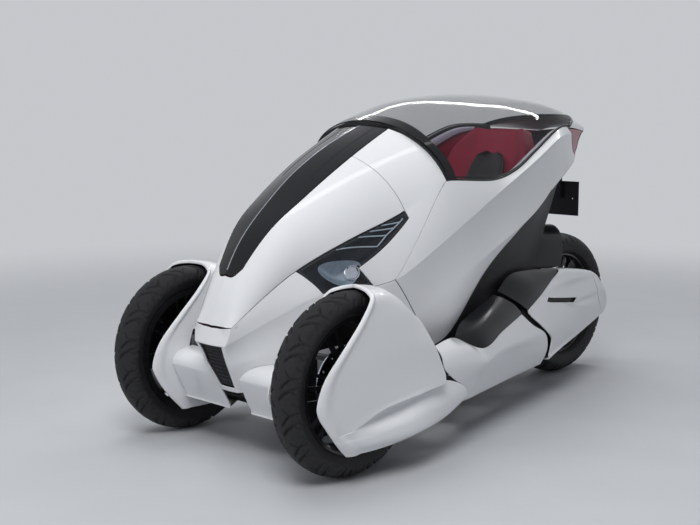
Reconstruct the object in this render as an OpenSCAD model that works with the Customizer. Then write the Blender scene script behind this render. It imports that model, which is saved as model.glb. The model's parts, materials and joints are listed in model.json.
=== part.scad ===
// Three wheeled car: one seat under a clear canopy, two faired wheels in front, one driven wheel behind.
// Millimetres, +Z up. The front is -Y, the car's left is +X and Z 0 is the road.

/* [Wheels] */
// Front axle to rear axle
wheel_base = 1732; // [1712:1:1752]
// Middle of the left tyre to middle of the right tyre
track = 832; // [826:1:840]
// Front tyre, outer radius
front_r = 300; // [296:1:303]
// Front tyre, width
front_w = 114; // [108:1:116]
// Rear tyre, outer radius
rear_r = 310; // [306:1:314]
// Rear tyre, width
rear_w = 150; // [142:1:156]
// Front tyre, height of its side
front_side = 84; // [81:1:88]
// Rear tyre, height of its side
rear_side = 94; // [90:1:98]
// Stub axle radius
axle_r = 14; // [12:0.5:15]
// Brake disc radius
disc_r = 118; // [105:1:125]

/* [Body] */
// Wall of the painted panels
wall_t = 5; // [4:0.5:6]
// Seam between fixed panels
seam = 0.8; // [0.6:0.1:0.9]
// Gap all round the canopy
lid_gap = 7; // [6:0.5:8]
// Clear canopy's thickness
glass_t = 5; // [4:0.5:6]
// How far the tail runs past the tail lamps' lower corners
tail_run = 275; // [255:1:285]
// Depth of the headlamp bowls
lamp_depth = 70; // [50:1:85]

/* [Pods and side fairings] */
// Wheel pod, half its width at the front edge
pod_half = 116; // [114:1:119]
// How far the pod's running board stands out
board_out = 39; // [30:1:42]
// Underside of the side fairings above the road
fairing_z = 150; // [146:1:154]
// Rear cover, half the width across both at the rear tip
cover_half = 162; // [158:1:170]

/* [Cabin] */
// Steering wheel radius
steer_r = 145; // [130:1:155]
// Seat width
seat_w = 400; // [360:1:410]
// Seat padding
pad_t = 26; // [18:1:32]
// Battery block, length
battery_l = 186; // [150:1:190]
// Battery block, width
battery_w = 380; // [330:1:390]

/* [Hidden] */
$fn = 64;
nose_shift = 5;
front_y = -wheel_base / 2 - nose_shift;
rear_y = front_y + wheel_base;
wheel_x = track / 2;
king_x = wheel_x - 50;
pod_drawn_r = 300;
pod_grow = front_r / pod_drawn_r - 1;
front_rim = front_r - front_side;
rear_rim_r = rear_r - rear_side;
keel_x = seat_w / 2 + 36;
fit = 0.05;
touch = 0.5;
deck_z = 200;
hinge = [-395, 1060];
// Which piece to draw

// Feature lines of the body's left half from front to back; columns: y, x, z
centre_line = [[-1104, 0, 403], [-1086, 0, 461], [-1052, 0, 562], [-1024, 0, 624], [-971, 0, 717],
    [-904, 0, 792], [-823, 0, 865], [-725, 0, 943], [-586, 0, 1025], [-486, 0, 1069], [-375, 0, 1112]];
stripe_line = [[-1083, 45, 461], [-1049, 48, 560], [-1014, 56, 628], [-906, 90, 772], [-786, 110, 862],
    [-678, 120, 934], [-581, 125, 992], [-461, 125, 1055], [-368, 125, 1100]];
sill_line = [[-1078, 92, 463], [-977, 130, 552], [-860, 168, 638], [-680, 232, 730], [-460, 292, 819],
    [-290, 335, 921], [-178, 350, 915], [-64, 358, 909], [100, 345, 937], [246, 325, 1000],
    [411, 295, 1071], [484, 276, 1093], [595, 234, 1095], [895, 110, 1076]];
crease_high = [[-1095, 78, 402], [-960, 150, 480], [-792, 230, 561], [-633, 270, 566], [-535, 320, 588],
    [-419, 345, 653], [-201, 370, 779], [48, 375, 907], [235, 355, 985], [417, 322, 1056],
    [595, 250, 1066], [895, 112, 1062]];
crease_low = [[-1065, 65, 330], [-960, 140, 365], [-792, 235, 400], [-535, 320, 430], [-406, 335, 457],
    [-172, 355, 591], [57, 355, 697], [299, 325, 800], [579, 255, 970], [795, 150, 1010]];
edge_line = [[-1012, 42, 228], [-940, 110, 238], [-792, 215, 250], [-535, 300, 290], [-338, 325, 335],
    [-257, 335, 375], [-59, 335, 578], [153, 330, 713], [482, 280, 883], [660, 230, 955], [715, 190, 967]];
keel_line = [[-1000, 34, 214], [-930, 100, deck_z], [-792, 190, deck_z], [-535, keel_x + 9, deck_z],
    [-338, keel_x + 9, deck_z], [-59, keel_x + 2, deck_z], [100, keel_x, deck_z], [200, keel_x - 4, 255],
    [300, keel_x - 14, 355], [420, keel_x - 36, 530], [550, keel_x - 58, 730],
    [640, 160, 860], [705, 150, 950]];
lines = [centre_line, stripe_line, sill_line, crease_high, crease_low, edge_line, keel_line];
// How much the surface bulges between each line and the next, as a part of the way between them
bulges = [0.02, 0.12, 0.03, -0.03, 0.03, -0.10];
// Canopy's ridge; columns: y, z
ridge = [[-375, 1126], [-260, 1166], [-146, 1200], [4, 1219], [192, 1226], [378, 1219], [616, 1190],
    [844, 1136], [985, 1088]];
// Middle of the body, towards which panels are thickened; columns: y, z
core = [[-820, 470], [-300, 660], [200, 850], [700, 1010]];
// Panel edges; columns: how many feature lines out from the middle, y
hood_front = [[0, -1086], [1, -1083], [2, -1078]];
hood_rear = [[0, -553], [1, -553], [2, -460]];
glass_front = [[0, -375], [1, -368], [2, -290]];
lamp_front = [[2, -860], [3, -792], [5, -792]];
lamp_rear = [[2, -460], [2.16, -452], [2.6, -655], [3, -605]];
cowl_rear = [[1, -368], [2, -290], [3, -535], [4, -440], [5, -362]];
tail_start = [[2, 575], [5, 695]];
tail_end = [[2, 895], [5, 715]];
nose_front = [[2, -1078], [3, -1095], [4, -1065], [5, -1012]];

function lerp(a, b, u) = a + (b - a) * u;
function unit(p) = p / max(norm(p), 1e-9);
function span(t, y, i = 0) = (i >= len(t) - 2 || y < t[i + 1][0]) ? i : span(t, y, i + 1);
function grade(t, i, k) =
    let (a = max(i - 1, 0), b = min(i + 1, len(t) - 1))
    a < i && i < b && (t[i][k] - t[a][k]) * (t[b][k] - t[i][k]) <= 0 ? 0
    : (t[b][k] - t[a][k]) / (t[b][0] - t[a][0]);
function cubic(p, q, mp, mq, u) =
    (2 * u * u * u - 3 * u * u + 1) * p + (u * u * u - 2 * u * u + u) * mp
    + (3 * u * u - 2 * u * u * u) * q + (u * u * u - u * u) * mq;
function curve(t, y, k) =
    let (i = span(t, y), w = t[i + 1][0] - t[i][0], u = (y - t[i][0]) / w)
    u < 0 ? t[i][k] + grade(t, i, k) * (y - t[i][0])
    : u > 1 ? t[i + 1][k] + grade(t, i + 1, k) * (y - t[i + 1][0])
    : cubic(t[i][k], t[i + 1][k], grade(t, i, k) * w, grade(t, i + 1, k) * w, u);
function on_line(n, y) = [curve(lines[n], y, 1), curve(lines[n], y, 2)];

// A point of the body's skin, v feature lines out from the middle, left for v above 0
function skin(y, v) =
    let (a = abs(v), i = min(floor(a), 5), u = a - i, p = on_line(i, y), q = on_line(i + 1, y), d = q - p,
        s = p + d * u + [-d[1], d[0]] * bulges[i] * 4 * u * (1 - u))
    [sign(v) * s[0], y, s[1]];
// A point of the canopy's dome, u from -1 at the right sill to 1 at the left one
function dome(y, u, lift = 0) =
    let (s = on_line(2, y), top = curve(ridge, y, 1), a = 90 * u, n = 2 / 2.15)
    [sign(u) * s[0] * pow(abs(sin(a)), n), y, s[1] + lift + (top - s[1] - lift) * pow(abs(cos(a)), n)];
function inward(p) =
    let (y = min(max(p[1] + 40, core[0][0]), core[3][0]))
    unit([0, y, lookup(y, core)] - p);
function panel_inner(g, t = wall_t) = [for (row = g) [for (p = row) p + t * inward(p)]];
function facing(g, r, c) =
    let (a = g[max(r - 1, 0)][c], b = g[min(r + 1, len(g) - 1)][c],
        d = g[r][max(c - 1, 0)], e = g[r][min(c + 1, len(g[0]) - 1)])
    unit(cross(b - a, e - d));
function shell_inner(g, t) =
    [for (r = [0 : len(g) - 1]) [for (c = [0 : len(g[0]) - 1]) g[r][c] + t * facing(g, r, c)]];
// A point of a smooth line through the points p, t from 0 to 1
function rail(p, t) =
    let (n = len(p) - 1, i = min(floor(t * n), n - 1), d = p[i + 1] - p[i],
        mp = i > 0 ? (p[i + 1] - p[i - 1]) / 2 : d, mq = i + 2 <= n ? (p[i + 2] - p[i]) / 2 : d)
    cubic(p[i], p[i + 1], mp, mq, t * n - i);
function steps(a, b, n) = [for (i = [0 : n]) lerp(a, b, i / n)];
function mirrored(g) = [for (row = g) [for (p = row) [-p[0], p[1], p[2]]]];
// Points of the skin between two edges, one row for each step back
function patch(vs, from, to, n) =
    [for (k = [0 : n]) [for (v = vs)
        skin(lerp(lookup(abs(v), from) + seam / 2, lookup(abs(v), to) - seam / 2, k / n), v)]];

// A closed wall between an outer and an inner grid of points, without the cells that keep leaves out
module wall(outer, inner, keep = []) {
    nr = len(outer);
    nc = len(outer[0]);
    n = nr * nc;
    has = [for (r = [-1 : nr - 1]) [for (c = [-1 : nc - 1])
        r >= 0 && r < nr - 1 && c >= 0 && c < nc - 1 && (len(keep) == 0 || keep[r][c])]];
    m = [floor((nr - 1) / 2), floor((nc - 1) / 2)];
    base = outer[m[0]][m[1]];
    way = cross(outer[m[0] + 1][m[1]] - base, outer[m[0]][m[1] + 1] - base) * (base - inner[m[0]][m[1]]);
    faces = [for (r = [0 : nr - 2]) for (c = [0 : nc - 2])
        let (a = r * nc + c, b = a + 1, d = a + nc, e = d + 1)
        if (has[r + 1][c + 1]) each concat(
            [[a, b, e], [a, e, d], [a + n, e + n, b + n], [a + n, d + n, e + n]],
            has[r][c + 1] ? [] : [[b, a, a + n], [b, a + n, b + n]],
            has[r + 2][c + 1] ? [] : [[d, e, d + n], [e, e + n, d + n]],
            has[r + 1][c + 2] ? [] : [[e, b, b + n], [e, b + n, e + n]],
            has[r + 1][c] ? [] : [[a, d, a + n], [d, d + n, a + n]])];
    polyhedron(points = concat([for (row = outer) each row], [for (row = inner) each row]),
        faces = way > 0 ? faces : [for (f = faces) [f[2], f[1], f[0]]]);
}
module both() {
    children();
    mirror([1, 0, 0]) children();
}

// Painted body panels
nose_v = [2.004, 2.35, 2.7, 3, 3.06, 3.4, 3.8, 4.2, 4.6, 4.86, 5];
nose_u = [-1, -0.8, -0.5, 0, 0.5, 0.8, 1];
function nose_edge(v) = skin(lookup(v, nose_front) + seam / 2, v);
function nose_face(u, v) =
    let (p = nose_edge(v))
    [u * p[0], p[1] - lookup(v, [[2, 14], [3, 10], [5, 4]]) * (1 - u * u), p[2]];
function nose_side(v, n, s) =
    let (a = lookup(v, nose_front) + seam / 2, b = lookup(v, lamp_front) - seam / 2)
    [for (k = [1 : n]) skin(lerp(a, b, k / n), s * v)];
function nose_back(v, n, s) =
    let (a = lookup(v, lamp_front) - seam / 2, b = lookup(max(v, 3), cowl_rear) - seam / 2)
    [for (k = [1 : n]) skin(lerp(a, b, k / n), s * v)];
function reversed(t) = [for (i = [len(t) - 1 : -1 : 0]) t[i]];
nose_grid = [for (v = nose_v) concat(reversed(nose_back(v, 5, -1)), reversed(nose_side(v, 6, -1)),
    [for (u = nose_u) nose_face(u, v)], nose_side(v, 6, 1), nose_back(v, 5, 1))];
module nose_cover() {
    nc = len(nose_grid[0]);
    keep = [for (r = [0 : len(nose_v) - 2]) [for (c = [0 : nc - 2])
        !((c < 5 || c >= nc - 6) && nose_v[r] < 3) && !(c >= 12 && c < 16 && r >= 4 && r < 9)]];
    color("white") wall(nose_grid, panel_inner(nose_grid), keep);
}
module grille() {
    grid = [for (v = [2.99, 3.3, 3.8, 4.3, 4.7, 4.93]) [for (u = steps(-0.9, 0.9, 6))
        let (p = nose_face(u, v)) p + (wall_t + touch) * inward(p)]];
    color("black") wall(grid, panel_inner(grid, 4));
}
hood_v = concat(steps(-1.996, -1.004, 5), [-0.5, 0.001, 0.5], steps(1.004, 1.996, 5));
module hood() {
    cut = -1024 - seam / 2;
    front = [for (k = [0 : 3]) [for (v = hood_v)
        skin(lerp(lookup(abs(v), hood_front) + seam / 2, cut, k / 4), v)]];
    rear = [for (k = [0 : 9]) [for (v = hood_v)
        skin(lerp(cut, lookup(abs(v), hood_rear) - seam / 2, k / 9), v)]];
    grid = concat(front, rear);
    keep = [for (r = [0 : len(grid) - 2]) [for (c = [0 : len(hood_v) - 2]) r < 4 || c < 5 || c >= 9]];
    color("white") wall(grid, panel_inner(grid), keep);
}
module spine_panel() {
    vs = concat(steps(-0.996, -0.3, 3), [0.001], steps(0.3, 0.996, 3));
    front = [for (k = [0 : 8]) [for (v = vs) skin(lerp(-1024 + seam / 2, -553 - seam / 2, k / 9), v)]];
    rear = [for (k = [0 : 6]) [for (v = vs)
        skin(lerp(-553 + seam / 2, lookup(abs(v), glass_front) - seam / 2, k / 6), v)]];
    grid = concat(front, rear);
    color("black") wall(grid, panel_inner(grid));
}
cowl_v = concat(steps(1.004, 2, 5), [2.08, 2.16, 2.38, 2.6, 2.8, 2.99]);
cowl_front = concat([[1, -553]], lamp_rear);
module cowl(s) {
    grid = patch([for (v = cowl_v) s * v], cowl_front, cowl_rear, 6);
    color("white") wall(grid, panel_inner(grid));
}
module cowl_left() {
    cowl(1);
}
module cowl_right() {
    cowl(-1);
}
side_v = [2.01, 2.08, 2.16, 2.38, 2.6, 2.8, 3, 3.3, 3.65, 4, 4.35, 4.7, 5];
module side(s) {
    grid = patch([for (v = side_v) s * v], cowl_rear, tail_start, 16);
    color("white") wall(grid, panel_inner(grid));
}
module side_left() {
    side(1);
}
module side_right() {
    side(-1);
}
module belly_pan() {
    ys = concat(steps(-1000, -362, 6), steps(-325, -45, 7), steps(10, 705, 10));
    half = [5.01, 5.25, 5.5, 5.75, 5.999];
    grid = [for (y = ys)
        let (left = [for (v = half) skin(y, v)], k = left[4])
        concat([for (p = left) p], [[0, y, k[2]]], [for (i = [4 : -1 : 0]) [-left[i][0], y, left[i][2]]])];
    low = [for (row = grid) [for (p = row) p - [0, 0, seam]]];
    color("dimgray") wall(low, panel_inner(low));
}

// Tail
lip_u = [-1, -0.86, -0.68, -0.45, -0.2, 0.001, 0.2, 0.45, 0.68, 0.86, 1];
function lid_rear(u) = 844 - 200 * u * u;
function lip_end(u) = 710 + tail_run - (90 + tail_run - 275) * u * u;
module tail_lip() {
    grid = [for (k = [0 : 6]) [for (u = lip_u)
        dome(lerp(lid_rear(u), lip_end(u) - 0.1, k / 6), u)]];
    color("white") wall(grid, [for (row = grid) [for (p = row) p + [0, 0, -wall_t]]]);
}
module tail_lamps() {
    grid = patch([2.35, 2.6, 3, 3.5, 4, 4.5, 4.996], tail_start, tail_end, 5);
    color("red") both() wall(grid, panel_inner(grid, 8));
}
function tail_row(v) = skin(lookup(v, tail_end), v) + [0, 2.3, -3.6];
function tail_point(u, v) =
    let (p = tail_row(v), q = (v - 2) / 3)
    [u * p[0], p[1] + (tail_run - 185) * (1 - q) * (1 - u * u), p[2] + 12 * (1 - q) * (1 - u * u) - seam];
module tail_under() {
    grid = [for (v = [2.05, 2.5, 3, 3.5, 4, 4.5, 5])
        [for (u = [-1, -0.75, -0.45, 0, 0.45, 0.75, 1]) tail_point(u, v) - [0, 0, v < 2.2 ? wall_t : 0]]];
    color("dimgray") wall(grid, [for (row = grid) [for (p = row) p + [0, -2.2, 3.8]]]);
}
plate_y = 884;
plate_z = 2 * rear_r + 80;
module plate_carrier() {
    top = [for (v = [4.2, 3.8, 3.4]) tail_point(0, v)];
    color("black") {
        difference() {
            translate([-100, plate_y, plate_z]) cube([200, 6, 150]);
            for (x = [-70, 70])
                translate([x, plate_y - 1, plate_z + 75]) rotate([-90, 0, 0]) cylinder(r = 3.5, h = 8);
        }
        translate([-16, 0, 0]) rotate([90, 0, 90]) linear_extrude(32) polygon(concat(
            [for (p = top) [p[1], p[2] - 3]], [[plate_y, plate_z + 145], [plate_y, plate_z + 75],
            [plate_y - 14, plate_z + 75], [plate_y - 14, plate_z + 135]]));
    }
}

// Canopy
lid_u = [-1, -0.955, -0.84, -0.7, -0.53, -0.35, -0.17, 0.001, 0.17, 0.35, 0.53, 0.7, 0.84, 0.955, 1];
lid_t = [0, 0.045, 0.1, 0.17, 0.25, 0.34, 0.43, 0.52, 0.61, 0.7, 0.78, 0.86, 0.93, 0.975, 1];
function lid_front(u) = -375 + 85 * u * u;
lid_grid = [for (t = lid_t) [for (u = lid_u)
    dome(lerp(lid_front(u) + lid_gap, lid_rear(u) - lid_gap, t), u, lid_gap)]];
lid_inner = [for (row = lid_grid) [for (p = row)
    p + glass_t * unit([0, p[1] * 0.9, 880] - p)]];
function rim_cell(r, c) = r < 1 || r >= len(lid_t) - 2 || c < 1 || c >= len(lid_u) - 2;
module canopy_glass() {
    keep = [for (r = [0 : len(lid_t) - 2]) [for (c = [0 : len(lid_u) - 2]) !rim_cell(r, c)]];
    color("lightblue", 0.4) wall(lid_grid, lid_inner, keep);
}
module canopy_frame() {
    keep = [for (r = [0 : len(lid_t) - 2]) [for (c = [0 : len(lid_u) - 2]) rim_cell(r, c)]];
    color("black") {
        wall(lid_grid, lid_inner, keep);
        for (x = [-85, 75]) translate([x, hinge[0], hinge[1]]) rotate([90, 0, 90]) linear_extrude(10)
            difference() {
                union() {
                    circle(r = 12);
                    polygon([[0, -9], [66, -9], [66, 20], [56, 69], [46, 66], [57, 20], [57, -1], [0, -1]]);
                }
                circle(r = 6 + fit);
            }
    }
}

// Lamps
lamp_v = [2.006, 2.08, 2.16, 2.38, 2.6, 2.8, 2.994];
function lamp_grid(n) = patch(lamp_v, lamp_front, lamp_rear, n);
module lamp_lenses() {
    grid = lamp_grid(8);
    color("lightgray", 0.5) both() wall(grid, panel_inner(grid, 3));
}
function bowl(g, d) =
    let (nr = len(g) - 1, nc = len(g[0]) - 1)
    [for (r = [0 : nr]) [for (c = [0 : nc])
        g[r][c] + (3.4 + d * pow(sin(180 * r / nr) * sin(180 * c / nc), 0.6)) * inward(g[r][c])]];
module headlamps() {
    grid = lamp_grid(8);
    color("gray") both() wall(bowl(grid, lamp_depth), bowl(grid, lamp_depth + 4));
}

// Wheel pods, each line from front to back; columns: y from the axle, z, out from the pod's side
pod_outer = [
    [[-112, 106, -4], [25, 106, 8], [170, 122, 24], [330, 140, 4], [490, 166, -36]],
    [[-140, 132, 0], [10, 128, 20], [165, 137, board_out], [335, 152, 14], [516, 180, -36]],
    [[-158, 152, 2], [-10, 150, 18], [150, 168, board_out - 3], [320, 190, 14], [512, 208, -37]],
    [[-166, 162, 2], [-30, 166, 10], [125, 194, 22], [290, 226, 8], [456, 250, -26]],
    [[-172, 170, 2], [-50, 178, 0], [100, 210, -2], [245, 248, -2], [372, 283, -10]],
    [[-178, 178, 2], [-80, 186, 4], [45, 229, 7], [190, 246, 10], [339, 261, 12]],
    [[-200, 208, 2], [-75, 222, 4], [60, 250, 7], [200, 270, 10], [341, 292, 12]],
    [[-229, 252, 0], [-90, 270, 4], [50, 300, 7], [185, 325, 9], [322, 340, 10]],
    [[-233, 292, 0], [-95, 318, 3], [40, 342, 6], [170, 365, 8], [306, 376, 8]],
    [[-200, 363, 0], [-80, 384, 3], [45, 404, 5], [170, 420, 6], [284, 414, 4]],
    [[-123, 442, 0], [-28, 458, 1], [70, 470, 2], [165, 475, 1], [254, 462, -4]],
    [[-46, 520, -2], [25, 532, -2], [95, 536, -3], [165, 528, -6], [233, 494, -14]],
    [[0, 580, -6], [50, 584, -10], [100, 580, -16], [155, 563, -24], [215, 520, -36]]];
pod_roof = [
    [[14, 601, -34], [60, 604, -40], [110, 597, -48], [155, 578, -58], [195, 548, -66]],
    [[28, 609, -76], [66, 611, -78], [112, 604, -82], [150, 588, -86], [180, 566, -92]],
    [[36, 611, -112], [72, 612, -112], [114, 605, -112], [150, 589, -112], [178, 567, -112]]];
pod_inner_roof = [
    [[50, 606, -80], [80, 608, -80], [116, 602, -82], [150, 588, -86], [180, 566, -92]],
    [[38, 596, -38], [74, 600, -42], [114, 594, -48], [154, 577, -58], [192, 549, -66]]];
pod_inner = [
    [[14, 577, -8], [58, 583, -11], [102, 580, -16], [150, 564, -24], [196, 536, -34]],
    [[-42, 519, 0], [25, 532, 0], [95, 534, 0], [160, 524, 0], [222, 500, 0]],
    [[-123, 442, 0], [-35, 458, 0], [55, 466, 0], [145, 460, 0], [228, 444, 0]],
    [[-200, 363, 0], [-92, 384, 0], [16, 396, 0], [124, 396, 0], [232, 390, 0]],
    [[-233, 292, 0], [-117, 300, 0], [0, 306, 0], [116, 306, 0], [232, 306, 0]],
    [[-226, 248, 0], [-112, 236, 0], [3, 228, 0], [118, 228, 0], [232, 232, 0]],
    [[-180, 178, 0], [-77, 162, 0], [26, 152, 0], [129, 156, 0], [232, 168, 0]],
    [[-112, 106, 0], [-26, 104, 0], [60, 106, 0], [146, 116, 0], [232, 134, 0]]];
pod_cols = [0, 0.06, 0.14, 0.22, 0.31, 0.4, 0.5, 0.6, 0.69, 0.78, 0.86, 0.94, 1];
// The pod grows with the tyre: along and up are how much of the growth its rear end takes, and points
// at the axle's hole rise with the axle
function pod_row(line, s, half, along, up, high = 2 * pod_drawn_r) =
    [for (t = pod_cols) let (p = rail(line, t))
        [wheel_x + s * (half + p[2]), front_y + p[0] * (1 + pod_grow * lerp(1, along, t)),
         p[1] + pod_grow * min(p[1], high) * lerp(1, up, t)]];
function pod_grid() = concat(
    [for (i = [0 : 12]) pod_row(pod_outer[i], 1, pod_half - 4, 0, i < 9 ? 0 : 1)],
    [for (line = pod_roof) pod_row(line, 1, pod_half - 4, 1, 1)],
    [for (line = pod_inner_roof) pod_row(line, -1, pod_half - 4, 1, 1)],
    [for (i = [0 : 7]) pod_row(pod_inner[i], -1, pod_half, 0, i < 6 ? 1 : 0, (i < 3 ? 2 : 1) * pod_drawn_r)]);
module pod(s) {
    outer = pod_grid();
    inner = shell_inner(outer, wall_t);
    keep = [for (r = [0 : len(outer) - 2]) [for (c = [0 : 11]) !(r >= 21 && r < 23 && c >= 4 && c < 8)]];
    color("white") if (s > 0) wall(outer, inner, keep); else wall(mirrored(outer), mirrored(inner), keep);
}
module pod_left() {
    pod(1);
}
module pod_right() {
    pod(-1);
}
// Bridge from the nose to each pod; columns: y from the axle and z at the pod
bridge_line = [[-62, 332], [-110, 326], [-140, 310], [-152, 288], [-146, 262], [-95, 165], [-78, 150],
    [110, 150]];
function flank_x(y, z) = lookup(z, [for (v = [5 : -0.1 : 3]) let (s = skin(y, v)) [s[2], s[0]]]);
module bridges() {
    out = wheel_x - pod_half - touch;
    root = [for (p = bridge_line)
        let (y = front_y + p[0], low = p[1] < 240)
        [flank_x(y, p[1]) + (low ? -30 : 2.6), y, low ? min(p[1], deck_z - 8) : p[1]]];
    tip = [for (p = bridge_line) [out, front_y + p[0], p[1]]];
    outer = [for (k = [0 : 4]) [for (i = [0 : 7]) lerp(root[i], tip[i], k / 4)]];
    mid = [0, front_y - 20, 240];
    inner = [for (row = outer) [for (p = row) p + 4 * unit([p[0], mid[1], mid[2]] - p)]];
    color("white") both() wall(outer, inner);
}

// Side fairings, each line from front to back; columns: x, y, z
fairing = [
    [[374, -326, 0], [370, -314, 0], [362, -300, 0], [350, -285, 0], [268, 40, 0], [200, 345, 0]],
    [[452, -326, 2], [450, -314, 1], [446, -300, 1], [442, -285, 1], [356, 40, 0], [288, 345, 0]],
    [[472, -326, 32], [470, -314, 30], [466, -300, 28], [462, -285, 26], [378, 40, 15], [308, 345, 14]],
    [[486, -352, 70], [482, -325, 74], [472, -275, 76], [456, -212, 80], [392, 40, 65], [316, 366, 55]],
    [[496, -396, 100], [492, -345, 112], [480, -275, 118], [456, -187, 118], [400, 40, 116], [318, 368, 98]],
    [[500, -446, 146], [494, -380, 156], [478, -292, 154], [454, -190, 134], [412, 10, 142], [322, 340, 137]],
    [[486, -452, 190], [478, -390, 198], [460, -305, 194], [449, -195, 150], [412, -20, 170],
        [340, 236, 183]],
    [[452, -450, 222], [440, -395, 232], [408, -322, 220], [444, -200, 171], [405, -40, 206],
        [350, 148, 237]]];
// Upper edge of the dark inserts above them; columns: x, y, z
insert_top = [[399, -309, 229], [362, -235, 258], [334, -108, 290], [305, 25, 321]];
function raised(p) = p + [0, 0, fairing_z];
module sponson(s) {
    outer = [for (t = steps(0, 1, 10)) [for (line = fairing) raised(rail(line, t))]];
    g = s > 0 ? outer : mirrored(outer);
    t = s > 0 ? shell_inner(outer, -4) : mirrored(shell_inner(outer, -4));
    flat = [for (r = [0 : len(g) - 1]) [for (c = [0 : 7]) c < 2 ? g[r][c] + [0, 0, 4] : t[r][c]]];
    color("white") wall(g, flat);
}
module sponson_left() {
    sponson(1);
}
module sponson_right() {
    sponson(-1);
}
module sponson_inserts() {
    outer = [for (k = [0 : 6])
        let (a = raised(rail(fairing[7], 0.4 + k / 10)) + [0, 0, seam],
            b = raised(rail(insert_top, k / 6)),
            d = b - a)
        [for (u = [0, 0.2, 0.45, 0.7, 0.9, 1]) a + d * u + [d[2], 0, -d[0]] * 0.22 * 4 * u * (1 - u)]];
    color("black") both() wall(outer, shell_inner(outer, -4));
}

// Frame under the floor
module chassis() {
    top = deck_z - seam - touch;
    low = fairing_z + 4 + touch;
    color("dimgray") {
        for (x = [-170, 130]) translate([x, front_y + 30 + touch, low])
            cube([40, 300 - front_y - 30 - touch, top - low]);
        translate([-400, -260, low]) cube([800, 40, top - low]);
        translate([-310, 110, low]) cube([620, 40, top - low]);
        for (x = [-290, 290]) translate([x, -240, fairing_z - 10]) cylinder(r = 26, h = low - fairing_z + 12);
        for (s = [-1, 1]) translate([s * 150, 0, 0]) rotate([90, 0, 90]) translate([0, 0, -10])
            linear_extrude(20) difference() {
                polygon([[260, low], [300, low], [430, 300], [430, 360], [380, 360], [260, top]]);
                translate([400, 330]) circle(r = 12);
            }
    }
}
module axle_beam() {
    z = [front_r - 54, front_r + 62];
    low = fairing_z + 10;
    color("dimgray") difference() {
        union() {
            translate([-250, front_y - 30, low]) cube([500, 60, 30]);
            for (s = [-1, 1]) {
                translate([s > 0 ? 232 : -250, front_y - 30, low]) cube([18, 60, z[1] + 16 - low]);
                for (h = z) {
                    translate([s > 0 ? 249 : -king_x, front_y - 15, h]) cube([king_x - 249, 30, 16]);
                    translate([s * king_x, front_y, h]) cylinder(r = 20, h = 16);
                }
                translate([s * king_x, front_y, z[0] + 1]) cylinder(r = 10, h = z[1] - z[0]);
            }
        }
        translate([0, front_y - 31, low + 15]) rotate([-90, 0, 0]) cylinder(r = 8, h = 31);
    }
}
module battery_block() {
    top = 329;
    low = deck_z + wall_t + touch - seam;
    color("slategray") translate([-battery_w / 2, -20 - battery_l / 2, low])
        cube([battery_w, battery_l, top - low + touch]);
}

// Cabin
floor_z = [[-420, 240], [-180, 240], [-120, 330], [180, 330], [300, 440], [420, 610], [545, 850]];
module cabin_tub() {
    ys = [-420, -340, -260, -180, -120, -40, 40, 120, 180, 240, 300, 360, 420, 480, 545];
    half = [for (y = ys)
        let (s = on_line(2, y), e = on_line(5, y), k = on_line(6, y), f = lookup(y, floor_z))
        [[s[0] - 24, y, s[1] - 16], [s[0] - 32, y, lerp(s[1] - 16, max(e[1] + 60, f + 20), 0.5)],
         [e[0] - 34, y, max(e[1] + 30, f + 12)], [k[0] - 14, y, lerp(max(e[1] + 30, f + 12), f, 0.45)],
         [k[0] - 24, y, f + 6], [k[0] - 40, y, f]]];
    grid = [for (h = half)
        concat(h, [[0, h[0][1], h[5][2]]], [for (i = [5 : -1 : 0]) [-h[i][0], h[i][1], h[i][2]]])];
    inner = [for (row = grid) [for (c = [0 : 12])
        row[c] + (c >= 4 && c <= 8 ? [0, 0, 4] : 4 * unit([0, row[c][1], row[6][2] + 300] - row[c]))]];
    color("firebrick") wall(grid, inner);
}
module dash_panel() {
    low = deck_z + wall_t + touch - seam;
    half = [[225, low], [285, 330], [318, 455], [328, 640], [285, 800], [215, 950], [120, 1040]];
    color("dimgray") {
        translate([0, -420.5, 0]) rotate([90, 0, 0]) linear_extrude(6) difference() {
            polygon(concat(half, [for (i = [6 : -1 : 0]) [-half[i][0], half[i][1]]]));
            polygon([[-190, 260], [190, 260], [240, 420], [230, 700], [-230, 700], [-240, 420]]);
        }
        translate([-215, 0, 0]) rotate([90, 0, 90]) linear_extrude(430)
            polygon([[-421, 770], [-421, 905], [-388, 948], [-352, 940], [-344, 869.5], [-302.5, 784],
                [-330, 768]]);
        difference() {
            for (x = [-100, -68, 60, 92]) translate([x, 0, 0]) rotate([90, 0, 90]) linear_extrude(8)
                polygon([[-421, 1000], [-380, 1042], [-380, 1076], [-410, 1076], [-421, 1050]]);
            translate([-120, hinge[0], hinge[1]]) rotate([0, 90, 0]) cylinder(r = 6, h = 240);
        }
        for (x = [-100, 60]) translate([x, hinge[0], hinge[1]]) rotate([0, 90, 0]) cylinder(r = 6, h = 40);
    }
}
steer_hub = [0, -165, 890];
steer_tilt = 64;
module steering_column() {
    color("black") translate(steer_hub) rotate([180 - steer_tilt, 0, 0]) difference() {
        translate([0, 0, 40]) cylinder(r = 24, h = 170 - touch - 40);
        translate([0, 0, 30]) cylinder(r = 9 + fit, h = 125);
    }
}
module steering_wheel() {
    color("black") translate(steer_hub) rotate([-steer_tilt, 0, 0]) {
        rotate_extrude() translate([steer_r, 0]) circle(r = 13, $fn = 24);
        cylinder(r = 42, h = 24, center = true);
        for (a = [90, 210, 330]) rotate(a) translate([36, -13, -6]) cube([steer_r - 42, 26, 12]);
        rotate([180, 0, 0]) cylinder(r = 9, h = 120);
    }
}
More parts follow.
